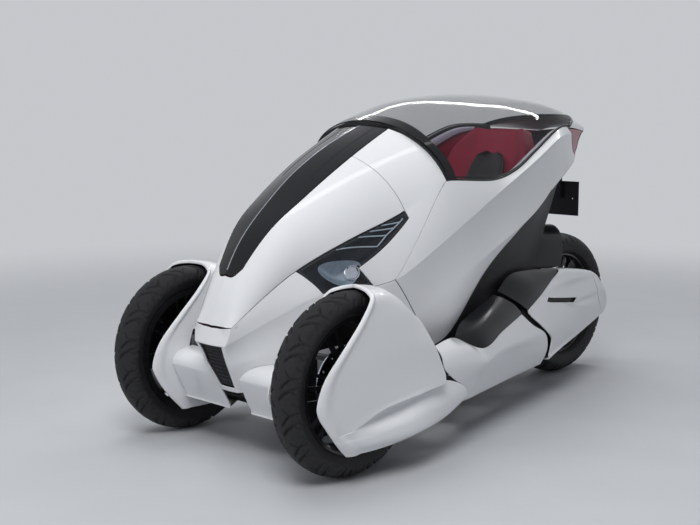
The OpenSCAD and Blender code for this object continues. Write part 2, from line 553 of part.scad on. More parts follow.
// Seat's side view; columns: y, z
seat_line = [[-128, 372], [-90, 372], [0, 362], [90, 364], [160, 392], [215, 470], [265, 590], [315, 720],
    [362, 850], [405, 965], [430, 1030]];
seat_u = [-1, -0.92, -0.75, -0.55, -0.25, 0, 0.25, 0.55, 0.75, 0.92, 1];
function seat_out(i) =
    let (a = seat_line[max(i - 1, 0)], b = seat_line[min(i + 1, 10)])
    unit([0, a[1] - b[1], b[0] - a[0]]);
function seat_rise(u) = 58 * pow(max(0, (abs(u) - 0.5) / 0.5), 1.4);
function seat_grid(w, lift) = [for (i = [0 : 10]) [for (u = seat_u)
    let (n = seat_out(i), k = i == 10 ? 0.5 : 1)
    [u * w / 2 * (i > 8 ? 0.8 : 1), seat_line[i][0], seat_line[i][1]] + n * (lift + k * seat_rise(u))]];
module seat_shell() {
    top = seat_grid(seat_w, 0);
    low = [for (i = [0 : 10]) [for (c = [0 : 10])
        [top[i][c][0], seat_line[i][0], seat_line[i][1]] - 26 * seat_out(i)]];
    flat = [for (row = low) [for (p = row) [p[0], p[1], max(p[2], 330 + 4 + touch)]]];
    color("crimson") wall(top, flat);
}
module seat_pad() {
    top = seat_grid(seat_w * 0.62, pad_t);
    low = seat_grid(seat_w * 0.62, touch);
    color("dimgray") wall(
        [for (i = [1 : 9]) [for (c = [2 : 8]) top[i][c]]], [for (i = [1 : 9]) [for (c = [2 : 8]) low[i][c]]]);
}

// Running gear
module knuckle(s) {
    color("gray") {
        difference() {
            translate([s * king_x, front_y, front_r - 30]) cylinder(r = 21, h = 84);
            translate([s * king_x, front_y, front_r - 31]) cylinder(r = 10 + fit, h = 86);
        }
        translate([s * (king_x + 16), front_y, front_r]) rotate([0, s * 90, 0]) cylinder(r = axle_r, h = 66);
        translate([s * (king_x + 19), front_y, front_r]) rotate([0, s * 90, 0])
            difference() {
                cylinder(r = 26, h = 6);
                translate([0, 0, -1]) cylinder(r = axle_r - 1, h = 8);
            }
        translate([s * (king_x + 8) - 7, front_y + 12, front_r - 14]) cube([14, disc_r - 32, 28]);
        difference() {
            translate([s * (king_x + 28) - 22, front_y + disc_r - 36, front_r - 34]) cube([44, 54, 68]);
            translate([s * (king_x + 33) - 9, front_y + disc_r - 46, front_r - 40]) cube([18, 52, 80]);
        }
    }
}
module knuckle_left() {
    knuckle(1);
}
module knuckle_right() {
    knuckle(-1);
}
// Rim section; columns: radius from the seat, across from the middle
function rim_profile(w) =
    [[-16, -w], [6, -w], [6, -w + 5], [0, -w + 8], [0, w - 8], [6, w - 5], [6, w], [-2, w],
    [-8, w - 12], [-14, w - 24], [-14, -w + 12], [-16, -w + 8]];
module rim(s, n = 7, w = 44) {
    translate([s * wheel_x, front_y, front_r]) rotate([0, s * 90, 0]) {
        rotate_extrude($fn = 96) translate([front_rim, 0]) polygon(rim_profile(w));
        difference() {
            union() {
                translate([0, 0, -16]) cylinder(r = 36, h = 46);
                translate([0, 0, -20]) cylinder(r = disc_r, h = 5);
                for (i = [0 : n - 1]) rotate(i * 360 / n) for (k = [-1, 1])
                    rotate(k * 7) translate([30, -6, 12]) cube([front_rim - 43, 12, 16]);
            }
            translate([0, 0, -30]) cylinder(r = axle_r + fit, h = 80);
            for (i = [0 : 11]) rotate(i * 30)
                translate([disc_r - 16, 0, -21]) cylinder(r = 5, h = 7, $fn = 16);
        }
    }
}
module rim_left() {
    color("black") rim(1);
}
module rim_right() {
    color("black") rim(-1);
}
// Tyre section, one side; columns: radius, across from the middle
function tyre_half(r, w, seat) =
    [[seat + 0.3, 35.4], [seat + 6.4, 38.3], [seat + 7, 42], [seat + 16, w / 2 - 9],
    [lerp(seat, r, 0.42), w / 2 - 1.5], [lerp(seat, r, 0.52), w / 2], [lerp(seat, r, 0.64), w / 2 - 2],
    [lerp(seat, r, 0.78), w * 0.42], [lerp(seat, r, 0.9), w * 0.31], [lerp(seat, r, 0.97), w * 0.17],
    [r, w * 0.03]];
function tyre_cavity(r, w, seat) = [[seat + 0.3, 30], [seat + 12, 36], [lerp(seat, r, 0.45), w / 2 - 10],
    [lerp(seat, r, 0.7), w * 0.36], [r - 14, w * 0.12]];
function flip(t) = [for (i = [len(t) - 1 : -1 : 0]) [t[i][0], -t[i][1]]];
module tyre(r, w, seat) {
    a = tyre_half(r, w, seat);
    b = tyre_cavity(r, w, seat);
    rotate_extrude($fn = 96) polygon(concat(a, flip(a), [for (p = flip(reversed(b))) p], reversed(b)));
}
module tyre_left() {
    color("black") translate([wheel_x, front_y, front_r]) rotate([0, 90, 0])
        tyre(front_r, front_w, front_rim);
}
module tyre_right() {
    color("black") translate([-wheel_x, front_y, front_r]) rotate([0, 90, 0])
        tyre(front_r, front_w, front_rim);
}
module rear_tyre() {
    color("black") translate([0, rear_y, rear_r]) rotate([0, 90, 0]) tyre(rear_r, rear_w, rear_rim_r);
}
module rear_rim() {
    color("black") translate([0, rear_y, rear_r]) rotate([0, 90, 0]) {
        rotate_extrude($fn = 96) translate([rear_rim_r, 0]) polygon(rim_profile(44));
        for (i = [0 : 6]) rotate(i * 360 / 7) for (k = [-1, 1])
            rotate(k * 8) translate([118 + touch, -7, -10]) cube([rear_rim_r - 132, 14, 20]);
    }
}
module hub_motor() {
    color("dimgray") translate([0, rear_y, rear_r]) rotate([0, 90, 0]) difference() {
        union() {
            cylinder(r = 118, h = 90, center = true);
            cylinder(r = 60, h = 150, center = true);
        }
        cylinder(r = 15 + fit, h = 200, center = true);
    }
}
module swing_arm() {
    color("dimgray") {
        for (s = [-1, 1]) translate([s * 122, 0, 0]) rotate([90, 0, 90]) translate([0, 0, -13])
            linear_extrude(26) hull() {
                translate([400, 330]) circle(r = 32);
                translate([rear_y, rear_r]) circle(r = 26);
            }
        for (s = [-1, 1]) translate([s * 131.5 - 4, 690, 200]) cube([8, 26, 294]);
        translate([-162, 400, 330]) rotate([0, 90, 0]) cylinder(r = 12 - fit, h = 324);
        translate([-110, rear_y, rear_r]) rotate([0, 90, 0]) cylinder(r = 15, h = 220);
    }
}
// Rear covers, each line from front to back; columns: x, y, z
cover = [
    [[306, 375, 168], [268, 530, 190], [228, 690, 208], [196, 830, 230], [166, 972, 253]],
    [[313, 388, 190], [274, 545, 212], [236, 710, 230], [200, 865, 248], [160, 1024, 270]],
    [[309, 410, 245], [277, 555, 262], [238, 715, 272], [202, 868, 282], [154, 1052, 300]],
    [[316, 374, 280], [286, 490, 312], [250, 650, 322], [215, 810, 326], [153, 1051, 325]],
    [[318, 318, 320], [288, 425, 386], [264, 545, 371], [243, 668, 356], [158, 1034, 350]],
    [[312, 240, 385], [285, 437, 400], [262, 560, 385], [238, 692, 369], [163, 1004, 385]],
    [[290, 348, 425], [270, 475, 434], [244, 610, 432], [210, 775, 428], [167, 966, 421]],
    [[262, 452, 465], [248, 570, 467], [226, 690, 464], [195, 830, 456], [168, 932, 446]],
    [[226, 566, 506], [215, 650, 500], [200, 740, 489], [184, 815, 478], [170, 880, 466]]];
cover_out = cover_half - 162;
function cover_row(line) = [for (t = steps(0, 1, 12)) rail(line, t) + [cover_out, 0, 0]];
module rear_cover(s) {
    face = [for (line = cover) cover_row(line)];
    lid = [for (p = face[8]) [136, p[1], p[2] - 3]];
    foot = [for (p = face[0]) [136, p[1], p[2] + 3]];
    outer = concat([foot], face, [lid]);
    inner = shell_inner(outer, 4);
    flat = [for (r = [0 : 10]) [for (c = [0 : 12])
        r == 0 ? outer[r][c] + [0, 0, 4] : r == 10 ? outer[r][c] - [0, 0, 4] : inner[r][c]]];
    keep = [for (r = [0 : 9]) [for (c = [0 : 11]) !(r == 5 && c >= 3 && c < 9)]];
    color("white") if (s > 0) wall(outer, flat, keep); else wall(mirrored(outer), mirrored(flat), keep);
}
module rear_cover_left() {
    rear_cover(1);
}
module rear_cover_right() {
    rear_cover(-1);
}
// Mudguard over the rear tyre; columns: y, half width, lower edge z, ridge z
guard = [[428, 84, 497, 506], [455, 106, 496, 545], [510, 114, 495, 598], [590, 115, 494, 642],
    [680, 115, 493, 661], [817, 115, 492, 663]];
// Upper edge of the dark panels beside it; columns: x, y, z
panel_top = [[275, 90, 476], [255, 190, 525], [234, 330, 528], [214, 540, 514]];
guard_u = [-1, -0.94, -0.8, -0.6, -0.35, 0, 0.35, 0.6, 0.8, 0.94, 1];
module rear_hugger() {
    rise = 2 * (rear_r - 310);
    back = rear_y - 861;
    arch = [for (i = [0 : 5]) let (g = guard[i]) [for (u = guard_u)
        [g[1] * sin(90 * u), g[0] + back - 3 * i * i * pow(abs(u), 1.5),
            g[2] + (g[3] + rise * max(0, min(1, (g[0] - 510) / 300)) - g[2]) * pow(cos(90 * u), 0.8)]]];
    low = [for (i = [5 : 8]) cover[i][0] + [cover_out, 0, 0]];
    side = [for (k = [0 : 6])
        let (a = rail(low, k / 6) + [-0.1, -0.25, 0.75], b = rail(panel_top, k / 6), d = b - a)
        [for (u = [0, 0.25, 0.5, 0.75, 1]) a + d * u + [abs(d[2]), 0, 0] * 0.7 * u * (1 - u)]];
    color("black") {
        wall(arch, shell_inner(arch, 4));
        both() {
            wall(side, shell_inner(side, -4));
            translate([0, 0, 502]) linear_extrude(4)
                polygon([[104, 458], [236, 458], [222, 530], [104, 530]]);
        }
    }
}

nose_cover();
grille();
hood();
spine_panel();
cowl_left();
cowl_right();
side_left();
side_right();
belly_pan();
chassis();
axle_beam();
battery_block();
cabin_tub();
dash_panel();
steering_column();
seat_shell();
seat_pad();
headlamps();
lamp_lenses();
tail_lip();
tail_lamps();
tail_under();
plate_carrier();
pod_left();
pod_right();
bridges();
sponson_left();
sponson_right();
sponson_inserts();
swing_arm();
rear_cover_left();
rear_cover_right();
rear_hugger();
knuckle_left();
knuckle_right();
rim_left();
rim_right();
tyre_left();
tyre_right();
rear_rim();
rear_tyre();
hub_motor();
steering_wheel();
canopy_glass();
canopy_frame();
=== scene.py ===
"""Looks of the three wheeled car: smooth panels, glass, lamps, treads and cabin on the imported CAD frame."""
import json
from math import copysign, cos, hypot, pi, radians, sin

import bpy
import bmesh
import numpy as np
from mathutils import Matrix, Vector


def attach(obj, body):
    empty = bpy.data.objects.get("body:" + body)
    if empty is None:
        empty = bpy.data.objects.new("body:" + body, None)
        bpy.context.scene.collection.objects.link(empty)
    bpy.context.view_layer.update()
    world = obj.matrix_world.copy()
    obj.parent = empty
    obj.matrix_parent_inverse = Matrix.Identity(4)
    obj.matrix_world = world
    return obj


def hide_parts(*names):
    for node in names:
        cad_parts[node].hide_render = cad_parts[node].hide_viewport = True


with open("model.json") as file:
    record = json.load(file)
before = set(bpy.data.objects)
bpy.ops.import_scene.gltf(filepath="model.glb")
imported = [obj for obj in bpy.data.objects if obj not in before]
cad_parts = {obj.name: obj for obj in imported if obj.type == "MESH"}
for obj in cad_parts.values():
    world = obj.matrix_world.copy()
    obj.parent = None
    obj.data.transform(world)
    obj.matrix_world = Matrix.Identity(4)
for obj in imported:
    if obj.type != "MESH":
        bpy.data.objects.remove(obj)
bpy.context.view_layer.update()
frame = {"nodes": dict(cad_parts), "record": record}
MM = 0.001
# Sizes in mm: gap between panels, thickness of a panel, room under the canopy, wheel centres, tyres and rim
SEAM, WALL, LID_GAP = 2.6, 5.0, 7.0
FRONT_Y, REAR_Y = -871.0, 861.0
WHEEL_X, FRONT_R, REAR_R, RIM_R = 416.0, 300.0, 310.0, 216.0
FRONT_W, REAR_W = 114.0, 150.0
SIDES = (("left", 1), ("right", -1))

# Feature lines of the body's left half, as in the part's source; columns: y, x, z in mm
LINES = [
    [(-1104, 0, 403), (-1086, 0, 461), (-1052, 0, 562), (-1024, 0, 624), (-971, 0, 717), (-904, 0, 792),
     (-823, 0, 865), (-725, 0, 943), (-586, 0, 1025), (-486, 0, 1069), (-375, 0, 1112)],
    [(-1083, 45, 461), (-1049, 48, 560), (-1014, 56, 628), (-906, 90, 772), (-786, 110, 862),
     (-678, 120, 934), (-581, 125, 992), (-461, 125, 1055), (-368, 125, 1100)],
    [(-1078, 92, 463), (-977, 130, 552), (-860, 168, 638), (-680, 232, 730), (-460, 292, 819),
     (-290, 335, 921), (-178, 350, 915), (-64, 358, 909), (100, 345, 937), (246, 325, 1000),
     (411, 295, 1071), (484, 276, 1093), (595, 234, 1095), (895, 110, 1076)],
    [(-1095, 78, 402), (-960, 150, 480), (-792, 230, 561), (-633, 270, 566), (-535, 320, 588),
     (-419, 345, 653), (-201, 370, 779), (48, 375, 907), (235, 355, 985), (417, 322, 1056),
     (595, 250, 1066), (895, 112, 1062)],
    [(-1065, 65, 330), (-960, 140, 365), (-792, 235, 400), (-535, 320, 430), (-406, 335, 457),
     (-172, 355, 591), (57, 355, 697), (299, 325, 800), (579, 255, 970), (795, 150, 1010)],
    [(-1012, 42, 228), (-940, 110, 238), (-792, 215, 250), (-535, 300, 290), (-338, 325, 335),
     (-257, 335, 375), (-59, 335, 578), (153, 330, 713), (482, 280, 883), (660, 230, 955), (715, 190, 967)],
    [(-1000, 34, 214), (-930, 100, 200), (-792, 190, 200), (-535, 245, 200), (-338, 245, 200),
     (-59, 238, 200), (100, 236, 200), (200, 232, 255), (300, 222, 355), (420, 200, 530), (550, 178, 730),
     (640, 160, 860), (705, 150, 950)],
]
# Ridge of the canopy and the line inside the body that panels thicken towards; columns: y, z
RIDGE = [(-375, 1126), (-260, 1166), (-146, 1200), (4, 1219), (192, 1226), (378, 1219), (616, 1190),
         (844, 1136), (985, 1088)]
CORE = [(-820, 470), (-300, 660), (200, 850), (700, 1010)]
# Swell of the skin between two lines, as a share of their distance, and the power of the dome's cross-section
BULGES = [0.02, 0.12, 0.03, -0.03, 0.03, -0.10]
DOME_POWER = 2 / 2.15
# Panel edges; columns: feature lines out from the middle, y
HOOD_FRONT = [(0, -1086), (1, -1083.5), (1.25, -1084.5), (1.5, -1085), (1.75, -1084), (2, -1078)]
HOOD_REAR = [(0, -553), (1, -553), (2, -460)]
GLASS_FRONT = [(0, -375), (1, -368), (2, -290)]
LAMP_FRONT = [(2, -860), (3, -792), (5, -792)]
LAMP_REAR = [(2, -460), (2.16, -452), (2.6, -655), (3, -605)]
COWL_REAR = [(1, -368), (2, -290), (3, -535), (4, -440), (5, -362)]
TAIL_START = [(2, 575), (5, 695)]
TAIL_END = [(2, 895), (5, 715)]
NOSE_FRONT = [(2, -1078), (3, -1095), (4, -1065), (5, -1012)]


def vec(x, y, z):
    return np.array([x, y, z], float)


def look(table, key):
    """A table's value at a key, in a straight line between its rows."""
    keys, values = zip(*table)
    return float(np.interp(key, keys, values))


def curve(u, p, q, m, n):
    """The cubic from p to q with slopes m and n at its ends, at u from 0 to 1."""
    return ((2 * u**3 - 3 * u**2 + 1) * p + (u**3 - 2 * u**2 + u) * m
            + (3 * u**2 - 2 * u**3) * q + (u**3 - u**2) * n)


def smooth_line(table, column, step=4.0, blur=6):
    """One column of a feature line on a fine grid of y, rounded where its points would make kinks."""
    ys = np.array([r[0] for r in table], float)
    vs = np.array([r[column] for r in table], float)
    slopes = np.gradient(vs, ys)
    for i in range(1, len(ys) - 1):
        flat = (vs[i] - vs[i - 1]) * (vs[i + 1] - vs[i]) <= 0
        slopes[i] = 0 if flat else (vs[i + 1] - vs[i - 1]) / (ys[i + 1] - ys[i - 1])
    grid = np.arange(-1200.0, 1100.0, step)
    out = np.zeros_like(grid)
    for k, y in enumerate(grid):
        i = int(np.clip(np.searchsorted(ys, y) - 1, 0, len(ys) - 2))
        w = ys[i + 1] - ys[i]
        u = (y - ys[i]) / w
        if u < 0:
            out[k] = vs[i] + slopes[i] * (y - ys[i])
        elif u > 1:
            out[k] = vs[i + 1] + slopes[i + 1] * (y - ys[i + 1])
        else:
            out[k] = curve(u, vs[i], vs[i + 1], w * slopes[i], w * slopes[i + 1])
    kernel = np.exp(-0.5 * (np.arange(-3 * blur, 3 * blur + 1) / blur) ** 2)
    padded = np.pad(out, 3 * blur, mode="reflect", reflect_type="odd")
    return grid, np.convolve(padded, kernel / kernel.sum(), mode="valid")


FINE = [(smooth_line(t, 1), smooth_line(t, 2)) for t in LINES]
FINE_RIDGE = smooth_line(RIDGE, 1)


def on_line(n, y):
    (gx, x), (gz, z) = FINE[n]
    return np.array([np.interp(y, gx, x), np.interp(y, gz, z)])


def skin(y, v):
    """A point of the body's skin, v feature lines out from the middle, left for v above 0."""
    a = abs(v)
    i = min(int(a), len(BULGES) - 1)
    u = a - i
    p, q = on_line(i, y), on_line(i + 1, y)
    d = q - p
    s = p + d * u + np.array([-d[1], d[0]]) * BULGES[i] * 4 * u * (1 - u)
    return vec(copysign(s[0], v) if v else 0.0, y, s[1])


def dome(y, u, lift=0.0):
    """A point of the canopy's dome, u from -1 at the right sill to 1 at the left one."""
    s = on_line(2, y)
    top = float(np.interp(y, *FINE_RIDGE))
    a, low = radians(90 * u), s[1] + lift
    out, up = abs(sin(a)) ** DOME_POWER, abs(cos(a)) ** DOME_POWER
    return vec(copysign(s[0] * out, u), y, low + (top - low) * up)


def lid_ends(u):
    """The y of the canopy's front and rear edge, at u across the dome."""
    return -375 + 85 * u * u, 844 - 200 * u * u


def around(n):
    return np.linspace(0, 2 * pi, n, endpoint=False)


def cells(grid, value=True):
    """A mask with one value for each cell of a grid."""
    return np.full((len(grid) - 1, len(grid[0]) - 1), value)


def unit(v):
    return v / max(np.linalg.norm(v), 1e-9)


def inward(p):
    """The way from a point of the skin into the body, a little towards the rear."""
    y = min(max(p[1] + 40, CORE[0][0]), CORE[-1][0])
    return unit(vec(0, y, look(CORE, y)) - p)


def deepen(grid, t=WALL):
    return np.array([[p + t * inward(p) for p in row] for row in grid])


def facing(grid):
    """Unit normals of a grid of points."""
    n = np.cross(np.gradient(grid, axis=0), np.gradient(grid, axis=1))
    return n / np.maximum(np.linalg.norm(n, axis=2, keepdims=True), 1e-9)


def spread(stops, parts):
    """Values through the stops, with each stretch cut into parts."""
    out = [stops[0]]
    for a, b in zip(stops, stops[1:]):
        out += list(np.linspace(a, b, parts + 1)[1:])
    return out


def patch(vs, start, end, n):
    """A grid of the skin between two panel edges, n cells long."""
    return np.array([[skin(a + (b - a) * k / n, v) for v in vs
                      for a, b in [(look(start, abs(v)) + SEAM / 2, look(end, abs(v)) - SEAM / 2)]]
                     for k in range(n + 1)])


def refine(grid, kr, kc):
    """A finer grid through the same points, smooth both ways."""
    g = np.asarray(grid, float)
    for axis, k in ((0, kr), (1, kc)):
        g = np.moveaxis(g, axis, 0)
        n = len(g)
        rows = []
        for i in range(n - 1):
            p0, p1, p2, p3 = g[max(i - 1, 0)], g[i], g[i + 1], g[min(i + 2, n - 1)]
            m1 = (p2 - p0) / (2.0 if i > 0 else 1.0)
            m2 = (p3 - p1) / (2.0 if i + 2 < n else 1.0)
            rows += [curve(j / k, p1, p2, m1, m2) for j in range(k)]
        rows.append(g[-1])
        g = np.moveaxis(np.array(rows), 0, axis)
    return g


def mirrored(grid):
    return np.asarray(grid) * vec(-1, 1, 1)


# Materials
def feed(nt, node, inputs):
    """Sets a node's inputs to values or to other nodes' outputs."""
    for key, value in inputs.items():
        if isinstance(value, bpy.types.NodeSocket):
            nt.links.new(value, node.inputs[key])
        else:
            node.inputs[key].default_value = value


def put(nt, kind, inputs, **settings):
    """The outputs of a new shader node."""
    node = nt.nodes.new("ShaderNode" + kind)
    for key, value in settings.items():
        setattr(node, key, value)
    feed(nt, node, inputs)
    return node.outputs


def material(name, colour, rough, metal=0.0, coat=0.0, coat_rough=0.03, grain=0.04, grain_scale=60.0,
             bump=0.0, bump_scale=400.0, rough_spread=0.0, shine=0.5, alpha=1.0):
    """A surface with a fine grain in its colour and, where asked for, in its roughness and relief."""
    m = bpy.data.materials.new(name)
    m.use_nodes = True
    nt = m.node_tree
    b = nt.nodes["Principled BSDF"]
    feed(nt, b, {"Metallic": metal, "Roughness": rough, "Coat Weight": coat, "Coat Roughness": coat_rough,
                 "Specular IOR Level": shine, "Alpha": alpha})
    where = put(nt, "TexCoord", {})["Object"]
    noise = put(nt, "TexNoise", {"Scale": grain_scale, "Detail": 4, "Vector": where})["Fac"]
    ramp = nt.nodes.new("ShaderNodeValToRGB")
    for stop, at, k in zip(ramp.color_ramp.elements, (0.3, 0.7), (1 - grain, 1 + grain)):
        stop.position = at
        stop.color = (*[min(c * k, 1) for c in colour], 1)
    feed(nt, ramp, {"Fac": noise})
    feed(nt, b, {"Base Color": ramp.outputs["Color"]})
    if rough_spread:
        ends = {"To Min": max(rough - rough_spread, 0), "To Max": rough + rough_spread}
        feed(nt, b, {"Roughness": put(nt, "MapRange", {"Value": noise, **ends})["Result"]})
    if bump:
        fine = put(nt, "TexNoise", {"Scale": bump_scale, "Vector": where})["Fac"]
        relief = put(nt, "Bump", {"Strength": bump, "Distance": 0.001, "Height": fine})
        feed(nt, b, {"Normal": relief["Normal"]})
    return m


# Looks of the record's slots: colour, roughness and the rest
LOOKS = {
    "white_paint": ((0.78, 0.79, 0.81), 0.34, dict(coat=0.8, coat_rough=0.06, grain=0.015, grain_scale=900)),
    "black_gloss": ((0.006, 0.0065, 0.008), 0.2, dict(shine=0.1, coat=0.5, grain=0.2, grain_scale=300)),
    "black_plastic": ((0.014, 0.014, 0.016), 0.5, dict(shine=0.25, bump=0.15, bump_scale=900, grain=0.15)),
    "black_mesh": ((0.02, 0.02, 0.024), 0.45, dict(grain=0.2)),
    "frame_metal": ((0.035, 0.036, 0.04), 0.4, dict(metal=0.3, grain=0.12, rough_spread=0.08)),
    "battery_case": ((0.32, 0.33, 0.35), 0.4, dict(metal=0.9, grain=0.08, rough_spread=0.08)),
    "red_trim": ((0.26, 0.005, 0.032), 0.42, dict(grain=0.12, grain_scale=25, bump=0.12, bump_scale=1200)),
    "grey_trim": ((0.34, 0.31, 0.40), 0.42, dict(grain=0.1, bump=0.1, bump_scale=900)),
    "dark_leather": ((0.02, 0.019, 0.022), 0.45, dict(grain=0.25, grain_scale=40, bump=0.25, bump_scale=700)),
    "lamp_chrome": ((0.10, 0.115, 0.135), 0.22, dict(metal=0.8, grain=0.15, grain_scale=40)),
    "clear_cover": ((0.2, 0.22, 0.25), 0.03, dict(alpha=0.06, shine=0.25, grain=0.01)),
    "red_lens": ((0.24, 0.002, 0.016), 0.3, dict(shine=0.15, coat=0.12, grain=0.2, grain_scale=120)),
    "cast_alloy": ((0.36, 0.37, 0.39), 0.42, dict(metal=0.9, grain=0.12, rough_spread=0.1)),
    "black_alloy": ((0.018, 0.018, 0.02), 0.28, dict(metal=0.4, coat=0.5, grain=0.2)),
    "tyre": ((0.012, 0.012, 0.013), 0.7, dict(grain=0.3, grain_scale=90, bump=0.3, bump_scale=500)),
    "tinted_glass": ((0.012, 0.012, 0.016), 0.02, dict(alpha=0.16, shine=0.35, coat=0.5, grain=0.1)),
}
MATS = {name: material(name, colour, rough, **rest) for name, (colour, rough, rest) in LOOKS.items()}
BRIGHT = material("bright_trim", (0.62, 0.66, 0.72), 0.12, metal=1.0, grain=0.05)
LIGHT_BAR = material("light_bar", (0.36, 0.43, 0.50), 0.25, metal=0.4, coat=0.6, grain=0.1)
HOUSING = material("lamp_housing", (0.008, 0.01, 0.013), 0.3, shine=0.2, grain=0.3, grain_scale=30)
REFLECTOR = material("lamp_reflector", (0.36, 0.43, 0.51), 0.28, metal=0.7, grain=0.12, grain_scale=50)
EYE = material("lamp_eye", (0.40, 0.45, 0.52), 0.16, metal=0.6, coat=0.3, grain=0.06, grain_scale=40)
SATIN = material("satin_black", (0.012, 0.013, 0.015), 0.28, shine=0.15, coat=0.22, coat_rough=0.1,
                 grain=0.12, grain_scale=200)
# Light metal for the stripe's centre ridge; its light colour is partly a painted highlight along the crease
RIDGE_TRIM_HIGHLIGHT = material("ridge_trim_painted_highlight", (0.42, 0.45, 0.50), 0.2, metal=0.8, grain=0.1)
RECORD_SLOT = {s["node"]: s["material_slot"] for s in frame["record"]["subparts"]}
NODE_BODY = {n: b for b, ns in frame["record"]["behaviour"]["bodies"].items() for n in ns}


def place(name, me, slot, body, replaces=(), mat=None, sharp=35, bevel=0.0):
    """An object from a mesh, smooth up to an angle, with rounded edges, on its body."""
    me.polygons.foreach_set("use_smooth", [True] * len(me.polygons))
    me.set_sharp_from_angle(angle=radians(sharp))
    ob = bpy.data.objects.new(name, me)
    bpy.context.scene.collection.objects.link(ob)
    me.materials.clear()
    me.materials.append(mat or MATS[slot])
    if bevel:
        mod = ob.modifiers.new("edge", "BEVEL")
        mod.width = bevel * MM
        mod.segments = 2
        mod.limit_method = "ANGLE"
        mod.angle_limit = radians(50)
        mod.harden_normals = True
    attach(ob, body)
    if replaces:
        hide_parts(*replaces)
    return ob


def add(name, verts, faces, slot, body="body", replaces=(), **looks):
    me = bpy.data.meshes.new(name)
    me.from_pydata([tuple(float(c) * MM for c in p) for p in verts], [], faces)
    me.validate()
    bm = bmesh.new()
    bm.from_mesh(me)
    bmesh.ops.delete(bm, geom=[v for v in bm.verts if not v.link_faces], context="VERTS")
    bmesh.ops.recalc_face_normals(bm, faces=bm.faces)
    bm.to_mesh(me)
    bm.free()
    return place(name, me, slot, body, replaces, **looks)


def dress(node, bevel):
    """A copy of a CAD node with flat faces joined and edges rounded."""
    me = bpy.data.meshes.new(node + "_part")
    bm = bmesh.new()
    bm.from_mesh(frame["nodes"][node].data)
    bmesh.ops.remove_doubles(bm, verts=bm.verts, dist=2e-5)
    bmesh.ops.dissolve_limit(bm, angle_limit=radians(1.5), verts=bm.verts, edges=bm.edges)
    bm.to_mesh(me)
    bm.free()
    return place(node + "_part", me, RECORD_SLOT[node], NODE_BODY[node], [node], bevel=bevel)


def wall_mesh(outer, inner, keep=None, s=1):
    """Points and faces of a closed wall between two grids, with the cells of keep; s = -1 mirrors it."""
    outer, inner = np.asarray(outer) * vec(s, 1, 1), np.asarray(inner) * vec(s, 1, 1)
    nr, nc = outer.shape[:2]
    n = nr * nc
    has = np.zeros((nr + 1, nc + 1), bool)
    has[1:nr, 1:nc] = True if keep is None else keep
    faces = []
    for r in range(nr - 1):
        for c in range(nc - 1):
            if not has[r + 1, c + 1]:
                continue
            a = r * nc + c
            b, d, e = a + 1, a + nc, a + nc + 1
            faces += [(a, b, e, d), (a + n, d + n, e + n, b + n)]
            for i, j, p, q in ((r, c + 1, b, a), (r + 2, c + 1, d, e),
                               (r + 1, c + 2, e, b), (r + 1, c, a, d)):
                if not has[i, j]:
                    faces.append((p, q, q + n, p + n))
    return list(outer.reshape(-1, 3)) + list(inner.reshape(-1, 3)), faces


def walls(outer, inner, keep=None):
    """The wall of the left side and its mirror image."""
    return [wall_mesh(outer, inner, keep, s) for s in (1, -1)]


def join(*meshes):
    verts, faces = [], []
    for v, f in meshes:
        k = len(verts)
        verts += list(v)
        faces += [tuple(i + k for i in face) for face in f]
    return verts, faces


def panel(node, outer, inner, keep=None, both=False, s=1, bevel=1.1, sharp=35, mat=None):
    meshes = walls(outer, inner, keep) if both else [wall_mesh(outer, inner, keep, s)]
    return add(node + "_skin", *join(*meshes), RECORD_SLOT[node], NODE_BODY[node], [node],
               mat=mat, bevel=bevel, sharp=sharp)


def rail(points, t, calm=False):
    """A point of a smooth line through the points, t from 0 to 1; a calm line never swings past them."""
    p = np.asarray(points, float)
    n = len(p) - 1
    i = min(int(t * n), n - 1)
    u = t * n - i
    d = np.diff(p, axis=0)

    def slope(k):
        a, b = d[max(k - 1, 0)], d[min(k, n - 1)]
        if not calm:
            return (a + b) / 2
        same = a * b > 0
        return np.where(same, 2 * a * b / np.where(same, a + b, 1), 0)

    return curve(u, p[i], p[i + 1], slope(i), slope(i + 1))


def tube(points, r, sides=10, closed=False):
    """Points and faces of a round bar along the points."""
    p = np.asarray(points, float)
    n = len(p)
    along = np.roll(p, -1, 0) - np.roll(p, 1, 0) if closed else np.gradient(p, axis=0)
    side = np.cross(along[0], [0.3, 0.2, 0.93])
    verts, faces = [], []
    for k in range(n):
        t = unit(along[k])
        side = unit(side - t * (side @ t))
        other = np.cross(t, side)
        verts += [p[k] + r * (cos(a) * side + sin(a) * other) for a in around(sides)]
    for k in range(n if closed else n - 1):
        j = (k + 1) % n
        faces += [(k * sides + i, k * sides + (i + 1) % sides, j * sides + (i + 1) % sides, j * sides + i)
                  for i in range(sides)]
    if not closed:
        faces += [tuple(range(sides)), tuple(range(n * sides - sides, n * sides))]
    return verts, faces


def turned(profile, centre, axis, n=48):
    """Points and faces of a profile of radius and height, turned about an axis."""
    axis = unit(np.asarray(axis, float))
    a = unit(np.cross(axis, [0.31, 0.2, 0.93]))
    b = np.cross(axis, a)
    m = len(profile)
    verts = [np.asarray(centre) + r * (cos(w) * a + sin(w) * b) + z * axis
             for w in around(n) for r, z in profile]
    faces = [(i * m + k, i * m + k + 1, (i + 1) % n * m + k + 1, (i + 1) % n * m + k)
             for i in range(n) for k in range(m - 1)]
    return verts, faces + [tuple(i * m for i in range(n)), tuple(i * m + m - 1 for i in range(n))]


# Painted panels; cells of the nose along the hood and along the lamp, and from its end to the mouth
HOOD_CELLS, LAMP_CELLS, MOUTH_CELL = 24, 20, 48
# Just below feature line 2, for the seam there
BELOW_2 = 2.012
nose_v = np.array(spread([BELOW_2, 2.35, 2.7, 3], 4) + [3.03, 3.06]
                  + spread([3.06, 3.4, 3.8, 4.2, 4.6, 4.86], 4)[1:] + [4.93, 5.0])
nose_u = spread([-1, -0.8, -0.5, 0, 0.5, 0.8, 1], 4)


